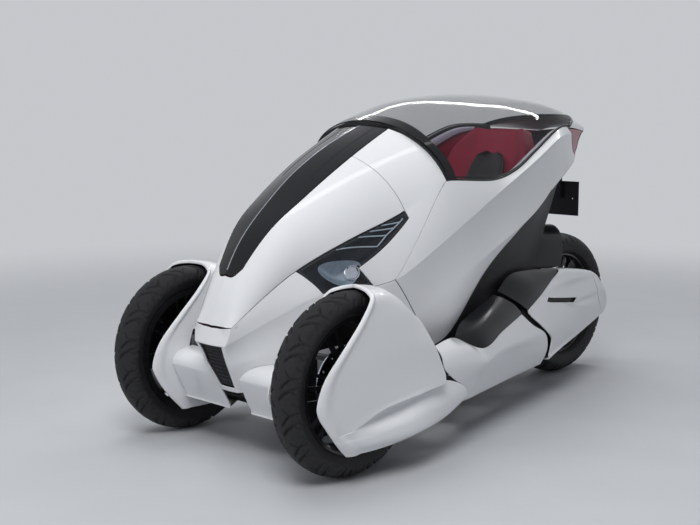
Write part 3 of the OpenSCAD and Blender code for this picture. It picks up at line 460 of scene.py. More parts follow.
def nose_flat(u, v):
    """A point of the nose's front before it is fitted to the hood, u across and v down."""
    p = skin(look(NOSE_FRONT, v) + SEAM / 2, v)
    return vec(u * p[0], p[1] - look([(2, 8), (3, 8), (5, 4)], v) * (1 - u * u), p[2])


def nose_face(u, v):
    """A point of the nose's front, whose top edge runs along the hood's edge."""
    edge = skin(look(HOOD_FRONT, abs(2 * u)) - SEAM / 2, 2 * u)
    return nose_flat(u, v) + max(0, 1 - (v - BELOW_2) / 0.5) ** 2 * (edge - nose_flat(u, BELOW_2))


def nose_run(v, s):
    """A row of the nose cover behind its front, on side s."""
    a, b = look(NOSE_FRONT, v) + SEAM / 2, look(LAMP_FRONT, v) - SEAM / 2
    c = look(COWL_REAR, max(v, 3)) - SEAM / 2
    return [skin(p + (q - p) * k / n, s * v) for p, q, n in ((a, b, HOOD_CELLS), (b, c, LAMP_CELLS))
            for k in range(1, n + 1)]


nose = np.array([nose_run(v, -1)[::-1] + [nose_face(u, v) for u in nose_u] + nose_run(v, 1) for v in nose_v])
keep = cells(nose)
above = nose_v[:-1] < 2.999
keep[above, :LAMP_CELLS] = keep[above, -LAMP_CELLS:] = False
mouth = (nose_v[:-1] > 3.055) & (nose_v[1:] < 4.87)
keep[mouth, MOUTH_CELL:-MOUTH_CELL] = False
panel("nose_cover", nose, deepen(nose), keep, bevel=1.4)

grille = np.array([[nose_face(u, v) + (WALL + 7) * inward(nose_face(u, v))
                    for u in np.linspace(-0.9, 0.9, 25)] for v in np.linspace(2.99, 4.93, 25)])
bars = [wall_mesh(grille + vec(0, 6, 0), grille + vec(0, 9, 0))]
bars += [tube(row, 2.0, 6) for row in grille[1:-1:2]]
bars += [tube(grille[:, c], 2.0, 6) for c in range(1, 24, 2)]
add("grille_mesh", *join(*bars), "black_mesh", "body", ["grille"])

hood_v = spread([-1.993, -1.007], 18) + spread([-1.007, 0, 1.007], 12)[1:-1] + spread([1.007, 1.993], 18)


def stripe_end(v):
    """Where the dark stripe starts: a little further forward in the middle."""
    return -1022 + 24 * min(abs(v), 1) ** 4


def hood_point(k, v):
    """A point of the hood: the cells of its lip come first, then those beside the stripe."""
    a, m = look(HOOD_FRONT, abs(v)) + SEAM / 2, stripe_end(v) - SEAM / 2
    b = look(HOOD_REAR, abs(v)) - SEAM / 2
    if k < LIP_CELLS:
        return skin(a + (m - a) * k / LIP_CELLS, v)
    return skin(m + (b - m) * (k - LIP_CELLS) / STRIPE_CELLS, v)


LIP_CELLS, STRIPE_CELLS = 8, 40
hood = np.array([[hood_point(k, v) for v in hood_v] for k in range(LIP_CELLS + STRIPE_CELLS + 1)])
keep = cells(hood)
inside = [c for c in range(len(hood_v) - 1) if abs(hood_v[c] + hood_v[c + 1]) < 2.013]
keep[np.ix_(range(LIP_CELLS, len(hood) - 1), inside)] = False
panel("hood", hood, deepen(hood), keep)

spine_v = spread([-0.988, 0, 0.988], 12)
spine = np.array([[skin(a + (b - a) * k / 60, v) for v in spine_v
                   for a, b in [(stripe_end(v) + SEAM / 2, look(GLASS_FRONT, abs(v)) - SEAM / 2)]]
                  for k in range(61)])
panel("spine_panel", spine, deepen(spine))
# The stripe's centre ridge, a thin raised bar in light metal whose colour partly paints the crease's highlight
ridge = tube([skin(y, 0.0) + vec(0, 0, -0.6) for y in np.linspace(-1014, -386, 60)], 2.4)
add("spine_ridge", *ridge, "black_gloss", mat=RIDGE_TRIM_HIGHLIGHT)
trims = [tube([skin(y, s * 0.58) + vec(0, 0, -0.4) for y in np.linspace(-700, -384, 40)], 1.3, 6)
         for s in (-1, 1)]
add("spine_trims", *join(*trims), "black_gloss")

cowl_v = spread([1.007, 2], 18) + spread([2, 2.08, 2.16, 2.38, 2.6, 2.8, 2.99], 5)[1:]
side_v = spread([BELOW_2, 2.5, 3], 10) + spread([3, 3.5, 4], 7)[1:] + spread([4, 4.5, 5], 6)[1:]
for side, s in SIDES:
    grid = patch([s * v for v in cowl_v], [(1, -553)] + LAMP_REAR, COWL_REAR, 24)
    panel("cowl_" + side, grid, deepen(grid), sharp=14)
    grid = patch([s * v for v in side_v], COWL_REAR, TAIL_START, 70)
    panel("side_" + side, grid, deepen(grid), sharp=9)


def backing(seam):
    """A dark strip behind a seam: painted shade that keeps the seam dark and the cabin from showing through;
    columns of the seam: y, v.
    """
    line = np.array([skin(y, v) for y, v in zip(*[spread(column, 12) for column in zip(*seam)])])
    rows = []
    for p, d in zip(line, np.gradient(line, axis=0)):
        depth = inward(p)
        across = unit(np.cross(d, depth))
        rows.append([p + 6.2 * depth + across * w for w in (-9, -3, 3, 9)])
    return wall_mesh(rows, deepen(rows, 1.5))


SEAMS = [[(-1072, 2), (-470, 2)], [(-858, 2.03), (-794, 2.97)], [(-455, 2.16), (-655, 2.6), (-605, 2.98)],
         [(-790, 3), (-538, 3)], [(-300, 2.04), (-535, 3), (-440, 4), (-364, 4.97)],
         [(-553, 1.02), (-462, 1.98)], [(-996, 1), (-372, 1)]]
# Dark strips behind all seams, painted shade inside the seams
seams = [backing([(y, s * v) for y, v in line]) for s in (-1, 1) for line in SEAMS]
add("seam_shade_strips", *join(*seams), "black_plastic")

# Tail
lip_u = spread([-1, -0.5, 0, 0.5, 1], 10)
lip = np.array([[dome(a + (b - a) * k / 16, u)
                 for u in lip_u for a, b in [(lid_ends(u)[1], 985 - 90 * u * u)]] for k in range(17)])
panel("tail_lip", lip, lip - vec(0, 0, WALL), bevel=1.5)
tail_lens = patch(spread([2.35, 3, 4, 4.99], 8), TAIL_START, TAIL_END, 20)
panel("tail_lamps", tail_lens, deepen(tail_lens, 8), both=True, bevel=2.0)


def tail_point(u, v):
    """A point of the tail's underside, u across and v feature lines down."""
    p = skin(look(TAIL_END, v), v) + vec(0, 2.3, -3.6)
    q = (v - 2) / 3
    return vec(u * p[0], p[1] + 90 * (1 - q) * (1 - u * u), p[2] + 12 * (1 - q) * (1 - u * u) - 0.8)


under = np.array([[tail_point(u, v) - vec(0, 0, 5 * max(0, 1 - (v - 2.05) / 0.45))
                   for u in np.linspace(-1, 1, 25)] for v in np.linspace(2.05, 5, 25)])
panel("tail_under", under, under + vec(0, -2.2, 3.8))

# Belly
belly = []
for y in spread([-1000, -362, -50, 300, 705], 14):
    left = [skin(y, v) for v in spread([5.01, 5.5, 5.999], 6)]
    belly.append(left + [vec(0, y, left[-1][2])] + [mirrored(p) for p in left[::-1]])
belly = np.array(belly) - vec(0, 0, 0.8)
panel("belly_pan", belly, deepen(belly))

# Canopy: clear dome, dark band that narrows to the corners, two hooks
lid_u = [-1, -0.994, -0.988] + list(np.linspace(-0.96, 0.96, 45)) + [0.988, 0.994, 1]


def lid_point(k, u):
    """A point of the canopy, k from its front edge to its rear one."""
    a, b = lid_ends(u)[0] + LID_GAP, lid_ends(u)[1] - LID_GAP
    front, rear = 0.034 * (1 - u * u) + 0.004, 0.02
    t = look([(0, 0), (0.04, front), (0.97, 1 - rear), (1, 1)], k)
    return dome(a + (b - a) * t, u, LID_GAP)


lid_k = spread([0, 0.04], 3) + list(np.linspace(0.055, 0.97, 60)) + spread([0.97, 1], 2)[1:]
lid = np.array([[lid_point(k, u) for u in lid_u] for k in lid_k])
lid_in = np.array([[p + 5 * unit(vec(0, p[1] * 0.9, 880) - p) for p in row] for row in lid])
band = cells(lid)
band[3:-2, 2:-2] = False
panel("canopy_glass", lid, lid_in, ~band, bevel=0)
# Outline of a hook; columns: y and z from the hinge
HOOK = [(0, -9), (66, -9), (66, 20), (56, 69), (46, 66), (57, 20), (57, -1), (0, -1)]
HINGE_Y, HINGE_Z, HOOK_W = -395, 1060, 10
n = len(HOOK)
hooks = []
for x in (-85, 75):
    hooks.append(([vec(x + w, HINGE_Y + a, HINGE_Z + b) for w in (0, HOOK_W) for a, b in HOOK],
                  [tuple(range(n)), tuple(range(n, 2 * n))]
                  + [(i, (i + 1) % n, (i + 1) % n + n, i + n) for i in range(n)]))
    hooks.append(turned([(6.3, 0), (12, 0), (12, HOOK_W), (6.3, HOOK_W)], (x, HINGE_Y, HINGE_Z),
                        (1, 0, 0), 32))
add("canopy_band", *join(wall_mesh(lid, lid_in, band), *hooks), "black_gloss", "canopy",
    ["canopy_frame"], bevel=1.0)

# Seal on the body under the canopy's edge: front, sills and rear
seal = []
for u in np.linspace(-1, 1, 81):
    front = lid_ends(u)[0]
    low = skin(front + 2.0, 2 * u) - vec(0, 0, 7)
    edge = dome(front + LID_GAP - 2, u, LID_GAP) - vec(0, 0, 6.5)
    seal.append([low, low + 0.5 * (edge - low) + vec(0, -1, 0), edge, edge + vec(0, 5, 0.5),
                 dome(front + 45, u * 0.98, LID_GAP) - vec(0, 0, 12)])
seal = np.array(seal)
brim = []
for y in np.linspace(-290, 640, 90):
    x, z = on_line(2, y)
    brim.append([(x - a, y, z - b) for a, b in ((1, 2), (3, -3.5), (12, -3.5), (16, 4), (18, 14))])
brim = refine(brim, 1, 2)
rear = np.array([[dome(lid_ends(u)[1] - k, u, LID_GAP) - vec(0, 0, d)
                  for k, d in ((-1, 4), (LID_GAP + 2, 6.5), (30, 8), (34, 18))]
                 for u in np.linspace(-1, 1, 61)])
meshes = [wall_mesh(g, g - vec(0, 0, 2.5)) for g in (seal, brim, mirrored(brim), rear)]
add("canopy_seal", *join(*meshes), "black_plastic")

# Headlamps: clear cover, dark housing, oval reflector, projector and light bars
lamp_v = spread([BELOW_2, 2.08, 2.16, 2.38, 2.6, 2.8, 2.985], 5)
lens = patch(lamp_v, LAMP_FRONT, LAMP_REAR, 48)
panel("lamp_lenses", lens, deepen(lens, 3), both=True, bevel=0.8)
edge = cells(lens, False)
edge[[0, -1]] = edge[:, [0, -2, -1]] = True
add("lamp_edges", *join(*walls(deepen(lens, 3.2), deepen(lens, 6), edge)), "black_gloss")


def bowl(grid, depth):
    nr, nc = grid.shape[0] - 1, grid.shape[1] - 1
    return np.array([[grid[r, c] + (6.4 + depth * (sin(pi * r / nr) * sin(pi * c / nc)) ** 0.4)
                      * inward(grid[r, c]) for c in range(nc + 1)] for r in range(nr + 1)])


panel("headlamps", bowl(lens, 58), bowl(lens, 62), both=True, bevel=0, mat=HOUSING)


def in_lamp(y, v, depth):
    p = skin(y, v)
    return p + depth * inward(p)


def oval_point(a, k):
    """A point of the oval reflector, a around it, k out from its middle; its front end is pointed."""
    c, s = cos(a), sin(a)
    y, v = -719 + k * (70 * c - 5 * s), 2.61 + k * (0.15 * c - 0.15 * c * c + 0.27 * s)
    return in_lamp(y, v, 9 + 38 * (1 - k * k))


oval = np.array([[oval_point(a, k) for a in np.linspace(0, 2 * pi, 49)]
                 for k in (1.05, 1.0, 0.9, 0.75, 0.55, 0.35, 0.15, 0.02)])
ring_at, ring_way = in_lamp(-672, 2.65, 15), unit(vec(0.62, -0.74, 0.26))
ring = turned([(19, -26), (23, -26), (27, -2), (26.5, 2), (23.5, 3), (20, 0)], ring_at, ring_way, 40)
eye = turned([(20, -10)] + [(20 * cos(a), -8 + 8 * sin(a)) for a in np.linspace(0, 1.5, 9)], ring_at,
             ring_way, 40)
# Light bars; columns: y, v
BARS = [[(-722, 2.05), (-581, 2.33)], [(-640, 2.03), (-543, 2.215)], [(-597, 2.025), (-510, 2.16)],
        [(-552, 2.02), (-483, 2.12)], [(-581, 2.33), (-543, 2.215), (-510, 2.16), (-483, 2.12), (-472, 2.09)]]
guides = []
for line in BARS:
    ys, vs = [spread(column, 9) for column in zip(*line)]
    guides.append(tube([in_lamp(y, v, 5.5) for y, v in zip(ys, vs)], 2.6, 8))


def pair(mesh):
    v, f = mesh
    return join((v, f), ([mirrored(p) for p in v], f))


add("lamp_reflectors", *pair(wall_mesh(oval, oval + 2 * vec(0, 1, 0))), "lamp_chrome", mat=REFLECTOR)
add("lamp_rings", *pair(ring), "lamp_chrome", mat=BRIGHT)
add("lamp_eyes", *pair(eye), "clear_cover", mat=EYE)
add("lamp_guides", *pair(join(*guides)), "lamp_chrome", mat=LIGHT_BAR)

# Wheel pods, each line from front to back; columns: y from the axle, z, out from the pod's side
POD_OUTER = [
    [(-112, 106, -4), (25, 106, 8), (170, 122, 24), (330, 140, 4), (490, 166, -36)],
    [(-140, 132, 0), (10, 128, 20), (165, 137, 39), (335, 152, 14), (516, 180, -36)],
    [(-158, 152, 2), (-10, 150, 18), (150, 168, 36), (320, 190, 14), (512, 208, -37)],
    [(-164, 160, 2), (-30, 163, 12), (125, 184, 26), (290, 212, 10), (470, 236, -36)],
    [(-170, 168, 2), (-48, 178, 6), (102, 206, -10), (250, 238, 0), (400, 258, -30)],
    [(-175, 175, 2), (-74, 185, 5), (54, 223, -14), (200, 242, -2), (352, 258, -16)],
    [(-177, 177, 2), (-78, 187, 5), (46, 227, 4), (191, 245, 11), (340, 261, 10)],
    [(-178, 178, 2), (-80, 188, 5), (45, 229, 10), (190, 248, 17), (339, 264, 16)],
    [(-182, 183, 2), (-79, 193, 5), (47, 234, 10), (191, 253, 17), (339, 269, 16)],
    [(-200, 208, 2), (-75, 222, 4), (60, 250, 9), (200, 270, 14), (341, 292, 14)],
    [(-229, 252, 0), (-90, 270, 4), (50, 300, 7), (185, 325, 9), (322, 340, 10)],
    [(-233, 292, 0), (-95, 318, 3), (40, 342, 6), (170, 365, 8), (306, 376, 8)],
    [(-200, 363, 0), (-80, 384, 3), (45, 404, 5), (170, 420, 6), (284, 414, 4)],
    [(-123, 442, 0), (-28, 458, 1), (70, 470, 2), (165, 475, 1), (254, 462, -4)],
    [(-46, 520, -2), (25, 532, -2), (95, 536, -3), (165, 528, -6), (233, 494, -14)],
    [(0, 580, -6), (50, 584, -10), (100, 580, -16), (155, 563, -24), (215, 520, -36)],
    [(14, 601, -34), (60, 604, -40), (110, 597, -48), (155, 578, -58), (195, 548, -66)],
    [(28, 609, -76), (66, 611, -78), (112, 604, -82), (150, 588, -86), (180, 566, -92)],
    [(36, 611, -112), (72, 612, -112), (114, 605, -112), (150, 589, -112), (178, 567, -112)]]
POD_SHOULDER = [
    [(50, 606, -80), (80, 608, -80), (116, 602, -82), (150, 588, -86), (180, 566, -92)],
    [(38, 596, -38), (74, 600, -42), (114, 594, -48), (154, 577, -58), (192, 549, -66)]]
POD_INNER = [
    [(14, 577, -8), (58, 583, -11), (102, 580, -16), (150, 564, -24), (196, 536, -34)],
    [(-42, 519, 0), (25, 532, 0), (95, 534, 0), (160, 524, 0), (222, 500, 0)],
    [(-123, 442, 0), (-35, 458, 0), (55, 466, 0), (145, 460, 0), (228, 444, 0)],
    [(-200, 363, 0), (-92, 384, 0), (16, 396, 0), (124, 396, 0), (232, 390, 0)],
    [(-233, 292, 0), (-117, 300, 0), (0, 306, 0), (116, 306, 0), (232, 306, 0)],
    [(-226, 248, 0), (-112, 236, 0), (3, 228, 0), (118, 228, 0), (232, 232, 0)],
    [(-180, 178, 0), (-77, 162, 0), (26, 152, 0), (129, 156, 0), (232, 168, 0)],
    [(-112, 106, 0), (-26, 104, 0), (60, 106, 0), (146, 116, 0), (232, 134, 0)]]
POD_HALF = 116
# Cells between two lines, rows of the hole for the axle, rows and columns with a dark liner that paints the
# shade inside the pod
K = 4
HOLE_ROWS = range(24 * K, 26 * K)
SHADE_LINER = np.s_[9 * K:, 4:]
pod_t = np.array([0, 0.006, 0.014, 0.024, 0.036, 0.05, 0.066, 0.085] + list(np.linspace(0.11, 1, 46)))
pod = []
for table, s, half in ((POD_OUTER, 1, POD_HALF - 4), (POD_SHOULDER, -1, POD_HALF - 4),
                       (POD_INNER, -1, POD_HALF)):
    for line in table:
        at = np.array([rail(line, t) for t in pod_t])
        pod.append(np.stack([WHEEL_X + s * (half + at[:, 2]), FRONT_Y + at[:, 0], at[:, 1]], axis=1))
pod = refine(pod, K, 1)
way = facing(pod)
bead = 6 * np.sin(np.pi * np.clip(pod_t / 0.1, 0, 1)) ** 0.8
pod_out, pod_in = pod - way * bead[None, :, None], pod + WALL * way
keep = cells(pod)
keep[np.ix_(HOLE_ROWS, [c for c in range(len(pod_t) - 1) if 0.31 < pod_t[c] < 0.69])] = False
for side, s in SIDES:
    panel("pod_" + side, pod_out, pod_in, keep, s=s, bevel=1.6, sharp=40)
# Dark liner just inside the pod's inner wall: painted shade in the wheel's hollow
liner = [(pod_in + t * way)[SHADE_LINER] for t in (0.4, 1.4)]
for side, s in SIDES:
    add("pod_shade_liner_" + side, *wall_mesh(*liner, keep[SHADE_LINER], s), "black_plastic")

# Bridges from the nose to the pods; columns: y from the axle and z at the pod
BRIDGE = [(-62, 332), (-110, 326), (-140, 310), (-152, 288), (-146, 262), (-95, 165), (-78, 150), (110, 150)]
roots, tips = [], []
for y, z in BRIDGE:
    flank = [skin(FRONT_Y + y, v) for v in np.arange(5, 2.95, -0.1)]
    x = np.interp(z, [p[2] for p in flank], [p[0] for p in flank])
    roots.append([x - 30 if z < 240 else x + 2.6, FRONT_Y + y, min(z, 192) if z < 240 else z])
    tips.append([WHEEL_X - POD_HALF - 0.5, FRONT_Y + y, z])
roots, tips = np.array(roots), np.array(tips)
bridge = refine([roots + (tips - roots) * k / 4 for k in range(5)], 3, 5)
bridge_in = np.array([[p + 4 * unit(vec(p[0], FRONT_Y - 20, 240) - p) for p in row] for row in bridge])
panel("bridges", bridge, bridge_in, both=True)

# Side fairings, each line from front to back; columns: x, y, z above the fairing's foot
FAIRING = [
    [(374, -326, 0), (370, -314, 0), (362, -300, 0), (350, -285, 0), (268, 40, 0), (200, 345, 0)],
    [(452, -326, 2), (450, -314, 1), (446, -300, 1), (442, -285, 1), (356, 40, 0), (288, 345, 0)],
    [(472, -326, 32), (470, -314, 30), (466, -300, 28), (462, -285, 26), (378, 40, 15), (308, 345, 14)],
    [(486, -352, 70), (482, -325, 74), (472, -275, 76), (456, -212, 80), (392, 40, 65), (316, 366, 55)],
    [(496, -396, 100), (492, -345, 112), (480, -275, 118), (456, -187, 118), (400, 40, 116), (318, 368, 98)],
    [(500, -446, 146), (494, -380, 156), (478, -292, 154), (454, -190, 134), (412, 10, 142), (322, 340, 137)],
    [(486, -452, 190), (478, -390, 198), (460, -305, 194), (449, -195, 150), (412, -20, 170), (340, 236, 183)],
    [(452, -450, 222), (440, -395, 232), (408, -322, 220), (444, -200, 171), (405, -40, 206), (350, 148, 237)]]
INSERT_TOP = [(399, -309, 229), (362, -235, 258), (334, -108, 290), (305, 25, 321)]
FOOT = vec(0, 0, 150)
# How far each line's front end reaches forward, towards the pod
REACH = (0, 2, 8, 18, 28, 36, 32, 30)


def fairing(ts):
    g = refine([[rail(line, t, True) + FOOT - vec(0, far * max(0, 1 - t / 0.25), 0)
                 for line, far in zip(FAIRING, REACH)] for t in ts], 1, 5)
    return g, g - 4 * facing(g)


parts = [fairing(np.linspace(0, 0.5993, 30)), fairing(np.linspace(0.6007, 1, 44))]
for side, s in SIDES:
    meshes = [wall_mesh(a, b, s=s) for a, b in parts]
    add("sponson_" + side + "_skin", *join(*meshes), "white_paint", "body", ["sponson_" + side],
        bevel=1.4, sharp=40)
insert = []
for k in np.linspace(0, 1, 48):
    a = rail(FAIRING[7], 0.4 + 0.6 * k, True) + FOOT + vec(0, 0, 0.8)
    d = rail(INSERT_TOP, k) + FOOT - a
    insert.append([a + d * u + vec(d[2], 0, -d[0]) * 0.88 * u * (1 - u) for u in np.linspace(0, 1, 19)])
insert = np.array(insert)
panel("sponson_inserts", insert, insert - 4 * facing(insert), both=True, bevel=1.2, sharp=50, mat=SATIN)

# Rear covers, each line from front to back; columns: x, y, z; the rear cap starts at each line's share in CAP
COVER = [
    [(306, 375, 168), (268, 530, 190), (228, 690, 208), (196, 830, 230), (166, 972, 253)],
    [(313, 388, 190), (274, 545, 212), (236, 710, 230), (200, 865, 248), (160, 1024, 270)],
    [(309, 410, 245), (277, 555, 262), (238, 715, 272), (202, 868, 282), (154, 1052, 300)],
    [(316, 374, 280), (286, 490, 312), (250, 650, 322), (215, 810, 326), (153, 1051, 325)],
    [(318, 318, 320), (288, 425, 386), (264, 545, 371), (243, 668, 356), (158, 1034, 350)],
    [(312, 240, 385), (285, 437, 400), (262, 560, 385), (238, 692, 369), (163, 1004, 385)],
    [(290, 348, 425), (270, 475, 434), (244, 610, 432), (210, 775, 428), (167, 966, 421)],
    [(262, 452, 465), (248, 570, 467), (226, 690, 464), (195, 830, 456), (168, 932, 446)],
    [(226, 566, 506), (215, 650, 500), (200, 740, 489), (184, 815, 478), (170, 880, 466)]]
CAP = [0.97, 0.915, 0.89, 0.90, 0.94, 0.946, 0.92, 0.88, 0.82]
cover_k = spread([0, 0.185], 11) + spread([0.185, 0.70], 29)[1:] + spread([0.70, 0.897], 11)[1:]
cover_k += spread([0.903, 1], 9)
cover = np.array([[rail(line, look([(0, 0), (0.9, cap), (1, 1)], k)) for k in cover_k]
                  for line, cap in zip(COVER, CAP)])
foot, top = cover[0].copy(), cover[-1].copy()
foot[:, 0] = top[:, 0] = 136
foot[:, 2] += 3
top[:, 2] -= 3
fine = refine(np.concatenate([[foot], cover, [top]]), 10, 1)
# Slot: z of its edges at SLOT_Y, its fall, its rows and columns, and the column of the cap's seam
SLOT_Y, SLOT_Z, SLOT_FALL = 397, (398, 414), -0.14
SLOT_ROWS, SLOT_COLS, CAP_SEAM = (26, 28), (11, 40), 51
rows = spread([0, 1], SLOT_ROWS[0]) + spread([1, 2], SLOT_ROWS[1] - SLOT_ROWS[0])[1:] + spread([2, 3], 24)[1:]


def cover_point(row, c):
    """A point of the rear cover; rows 1 to 2 are the slot, which falls towards the rear."""
    along = fine[58, c, 1] - SLOT_Y
    low, high = [np.interp(z + SLOT_FALL * along, fine[40:75, c, 2], np.arange(40, 75)) for z in SLOT_Z]
    q = look([(0, 0), (1, low), (2, high), (3, 100)], row)
    i = min(int(q), len(fine) - 2)
    return fine[i, c] + (q - i) * (fine[i + 1, c] - fine[i, c])


cover = np.array([[cover_point(row, c) for c in range(len(cover_k))] for row in rows])
way = facing(cover)
way *= np.sign(-way[30, 20, 0])
keep, slot = cells(cover), cells(cover, False)
keep[slice(*SLOT_ROWS), slice(*SLOT_COLS)] = False
slot[SLOT_ROWS[0] - 2:SLOT_ROWS[1] + 2, SLOT_COLS[0] - 2:SLOT_COLS[1] + 2] = True
keep[:, CAP_SEAM] = False
# Dark sheets behind the slot and behind the gap to the fairing: painted shade inside them
back = cover + 12 * way
gap = np.stack([cover[:, 0] + 14 * way[:, 3] + vec(0, -22, 0), back[:, 4], back[:, 6]], axis=1)
for side, s in SIDES:
    panel("rear_cover_" + side, cover, cover + 4 * way, keep, s=s, bevel=2.0, sharp=40)
    meshes = [wall_mesh(back, back + 3 * way, slot, s), wall_mesh(gap, gap + vec(-3, 0, 0), s=s)]
    add("slot_shade_back_" + side, *join(*meshes), "black_plastic")

# Mudguard over the rear tyre, columns: y, half width, lower edge z, ridge z
GUARD = [(428, 84, 497, 506), (455, 106, 496, 545), (510, 114, 495, 598), (590, 115, 494, 642),
         (680, 115, 493, 661), (817, 115, 492, 663)]
# Upper edge of the dark panels beside it, columns: x, y, z
PANEL_TOP = [(275, 90, 476), (255, 190, 525), (234, 330, 528), (214, 540, 514)]
arch = refine([[(w * sin(pi / 2 * u), y - 3 * i * i * abs(u) ** 1.5,
                 low + (ridge - low) * max(cos(pi / 2 * u), 0) ** 0.8) for u in np.linspace(-1, 1, 49)]
               for i, (y, w, low, ridge) in enumerate(GUARD)], 8, 1)
dark = []
cover_front = [line[0] for line in COVER[5:]]
for k in np.linspace(0, 1, 44):
    a = rail(cover_front, k) + vec(-0.1, -0.25, 0.75)
    d = rail(PANEL_TOP, k) - a
    dark.append([a + d * u + vec(abs(d[2]), 0, 0) * 0.7 * u * (1 - u) for u in np.linspace(0, 1, 17)])
dark = np.array(dark)
plate = np.array([[(104, 458, 506), (236, 458, 506)], [(104, 530, 506), (222, 530, 506)]], float)
meshes = [wall_mesh(arch, arch + 4 * facing(arch))]
for a, b in ((dark, dark - 4 * facing(dark)), (plate, plate - vec(0, 0, 4))):
    meshes += walls(a, b)
add("rear_hugger_skin", *join(*meshes), "black_gloss", NODE_BODY["rear_hugger"], ["rear_hugger"], mat=SATIN,
    bevel=1.2, sharp=50)

# Tyres with cut grooves, each with its depth; columns: share of the way out to the shoulder, share of a pitch
TREAD_PITCHES, TYRE_STEPS = 16, 640
TREAD = [([(0.06, 0.0), (0.25, 0.17), (0.5, 0.3), (0.72, 0.36), (0.95, 0.38)], 6.5),
         ([(0.10, 0.28), (0.28, 0.46), (0.42, 0.58), (0.6, 0.62), (0.9, 0.62)], 6.5),
         ([(0.20, 0.80), (0.32, 0.68), (0.45, 0.60)], 5.5), ([(0.45, 0.28), (0.66, 0.18), (0.92, 0.12)], 5.5),
         ([(0.55, 0.92), (0.7, 0.84), (0.86, 0.80)], 5.0)]


def tyre(node, centre, r, w, body):
    half = [(RIM_R + 0.3, 35.4), (RIM_R + 6.4, 38.3), (RIM_R + 7, 42), (RIM_R + 16, w / 2 - 9)]
    crown = [(0.42, w / 2 - 1.5), (0.52, w / 2), (0.64, w / 2 - 2), (0.78, w * 0.42), (0.9, w * 0.31),
             (0.97, w * 0.17), (1.0, w * 0.03)]
    half += [(RIM_R + (r - RIM_R) * k, x) for k, x in crown]
    line = half + [(a, -b) for a, b in half[::-1]]
    p = refine(np.array([[(a, b, 0)] * 2 for a, b in line]), 7, 1)[:, 0]
    out = np.concatenate([[0], np.cumsum(np.hypot(*np.diff(p[:, :2], axis=0).T))])
    out = np.abs(out - out[-1] / 2) / (0.36 * out[-1])
    used = [i for i in range(len(p)) if out[i] < 1.0 or i % 4 == 0 or i == len(p) - 1]
    p, out = p[used], out[used]
    th = around(TYRE_STEPS)[:, None]
    side = np.where(p[:, 1] > 0, 0.0, 0.5)[None]
    q = out[None]
    groove = np.zeros((TYRE_STEPS, len(p)))
    for line, depth in TREAD:
        qs, ts = zip(*line)
        turn = (th / (2 * pi) * TREAD_PITCHES + side - np.interp(q, qs, ts)) % 1.0
        fade = np.clip((q - qs[0]) / 0.05, 0, 1) * np.clip((qs[-1] - q) / 0.05, 0, 1)
        groove = np.maximum(groove, depth * fade * np.clip((0.05 - np.minimum(turn, 1 - turn)) / 0.028, 0, 1))
    rib = 0.8 * (np.abs(q - 1.12) < 0.03)
    rr = p[None, :, 0] - groove + rib
    verts = np.stack([np.broadcast_to(centre[0] + p[None, :, 1], rr.shape), centre[1] + rr * np.sin(th),
                      centre[2] + rr * np.cos(th)], axis=2).reshape(-1, 3)
    m = len(p)
    faces = []
    for i in range(TYRE_STEPS):
        j = (i + 1) % TYRE_STEPS
        faces += [(i * m + k, i * m + (k + 1) % m, j * m + (k + 1) % m, j * m + k) for k in range(m)]
    add(node + "_tread", verts, faces, "tyre", body, [node], sharp=32)


for side, s in SIDES:
    tyre("tyre_" + side, (s * WHEEL_X, FRONT_Y, FRONT_R), FRONT_R, FRONT_W, "wheel_" + side)
tyre("rear_tyre", (0, REAR_Y, REAR_R), REAR_R, REAR_W, "rear_wheel")

# Cabin: tub, sill trims, seat with a padded middle, steering wheel
FLOOR_Z = [(-420, 240), (-180, 240), (-120, 330), (180, 330), (300, 440), (420, 610), (545, 850)]
tub = []
for y in (-420, -340, -260, -180, -120, -40, 40, 120, 180, 240, 300, 360, 420, 480, 545):
    s, e, k, f = on_line(2, y), on_line(5, y), on_line(6, y), look(FLOOR_Z, y)
    step = max(e[1] + 30, f + 12)
    half = [(s[0] - 24, y, s[1] - 16), (s[0] - 32, y, (s[1] - 16 + max(e[1] + 60, f + 20)) / 2),
            (e[0] - 34, y, step), (k[0] - 14, y, step + (f - step) * 0.45),
            (k[0] - 24, y, f + 6), (k[0] - 40, y, f)]
    tub.append(half + [(0, y, f)] + [(-a, b, c) for a, b, c in half[::-1]])
tub = refine(tub, 4, 4)
mid = tub[:, tub.shape[1] // 2, 2]
tub_in = np.array([[p + 4 * unit(vec(0, p[1], z + 300) - p) for p in row] for row, z in zip(tub, mid)])
panel("cabin_tub", (tub + tub_in) / 2, tub_in, sharp=40)
add("tub_back", *wall_mesh(tub, (tub + tub_in) / 2 - vec(0, 0, 0.2)), "black_plastic")
TRIM_FRONT, TRIM_REAR = -290, 560
trim = []
for y in np.linspace(TRIM_FRONT, TRIM_REAR, 70):
    x, z = on_line(2, y)
    w = sin(pi * (y - TRIM_FRONT) / (TRIM_REAR - TRIM_FRONT)) ** 0.4
    trim.append([(x - 20, y, z - 10), (x - 24, y, z - 6), (x - 24 - 16 * w, y, z - 7),
                 (x - 25 - 24 * w, y, z - 8 - 10 * w), (x - 26 - 26 * w, y, z - 10 - 26 * w)])
trim = refine(trim, 1, 3)
add("sill_trims", *join(*walls(trim, trim - 3 * facing(trim))), "grey_trim", bevel=1.0)

# Middle line of the seat, columns: y, z; share of the full width at each of its points
SEAT = [(-128, 372), (-90, 372), (0, 362), (90, 364), (160, 392), (215, 470), (265, 590), (315, 720),
        (362, 850), (418, 985), (462, 1082)]
SEAT_TAPER = (1, 1, 1, 1, 1, 1, 1, 1.02, 1.02, 0.94, 0.66)
SEAT_W, PAD_W, PAD_EDGE = 400, 248, 0.76


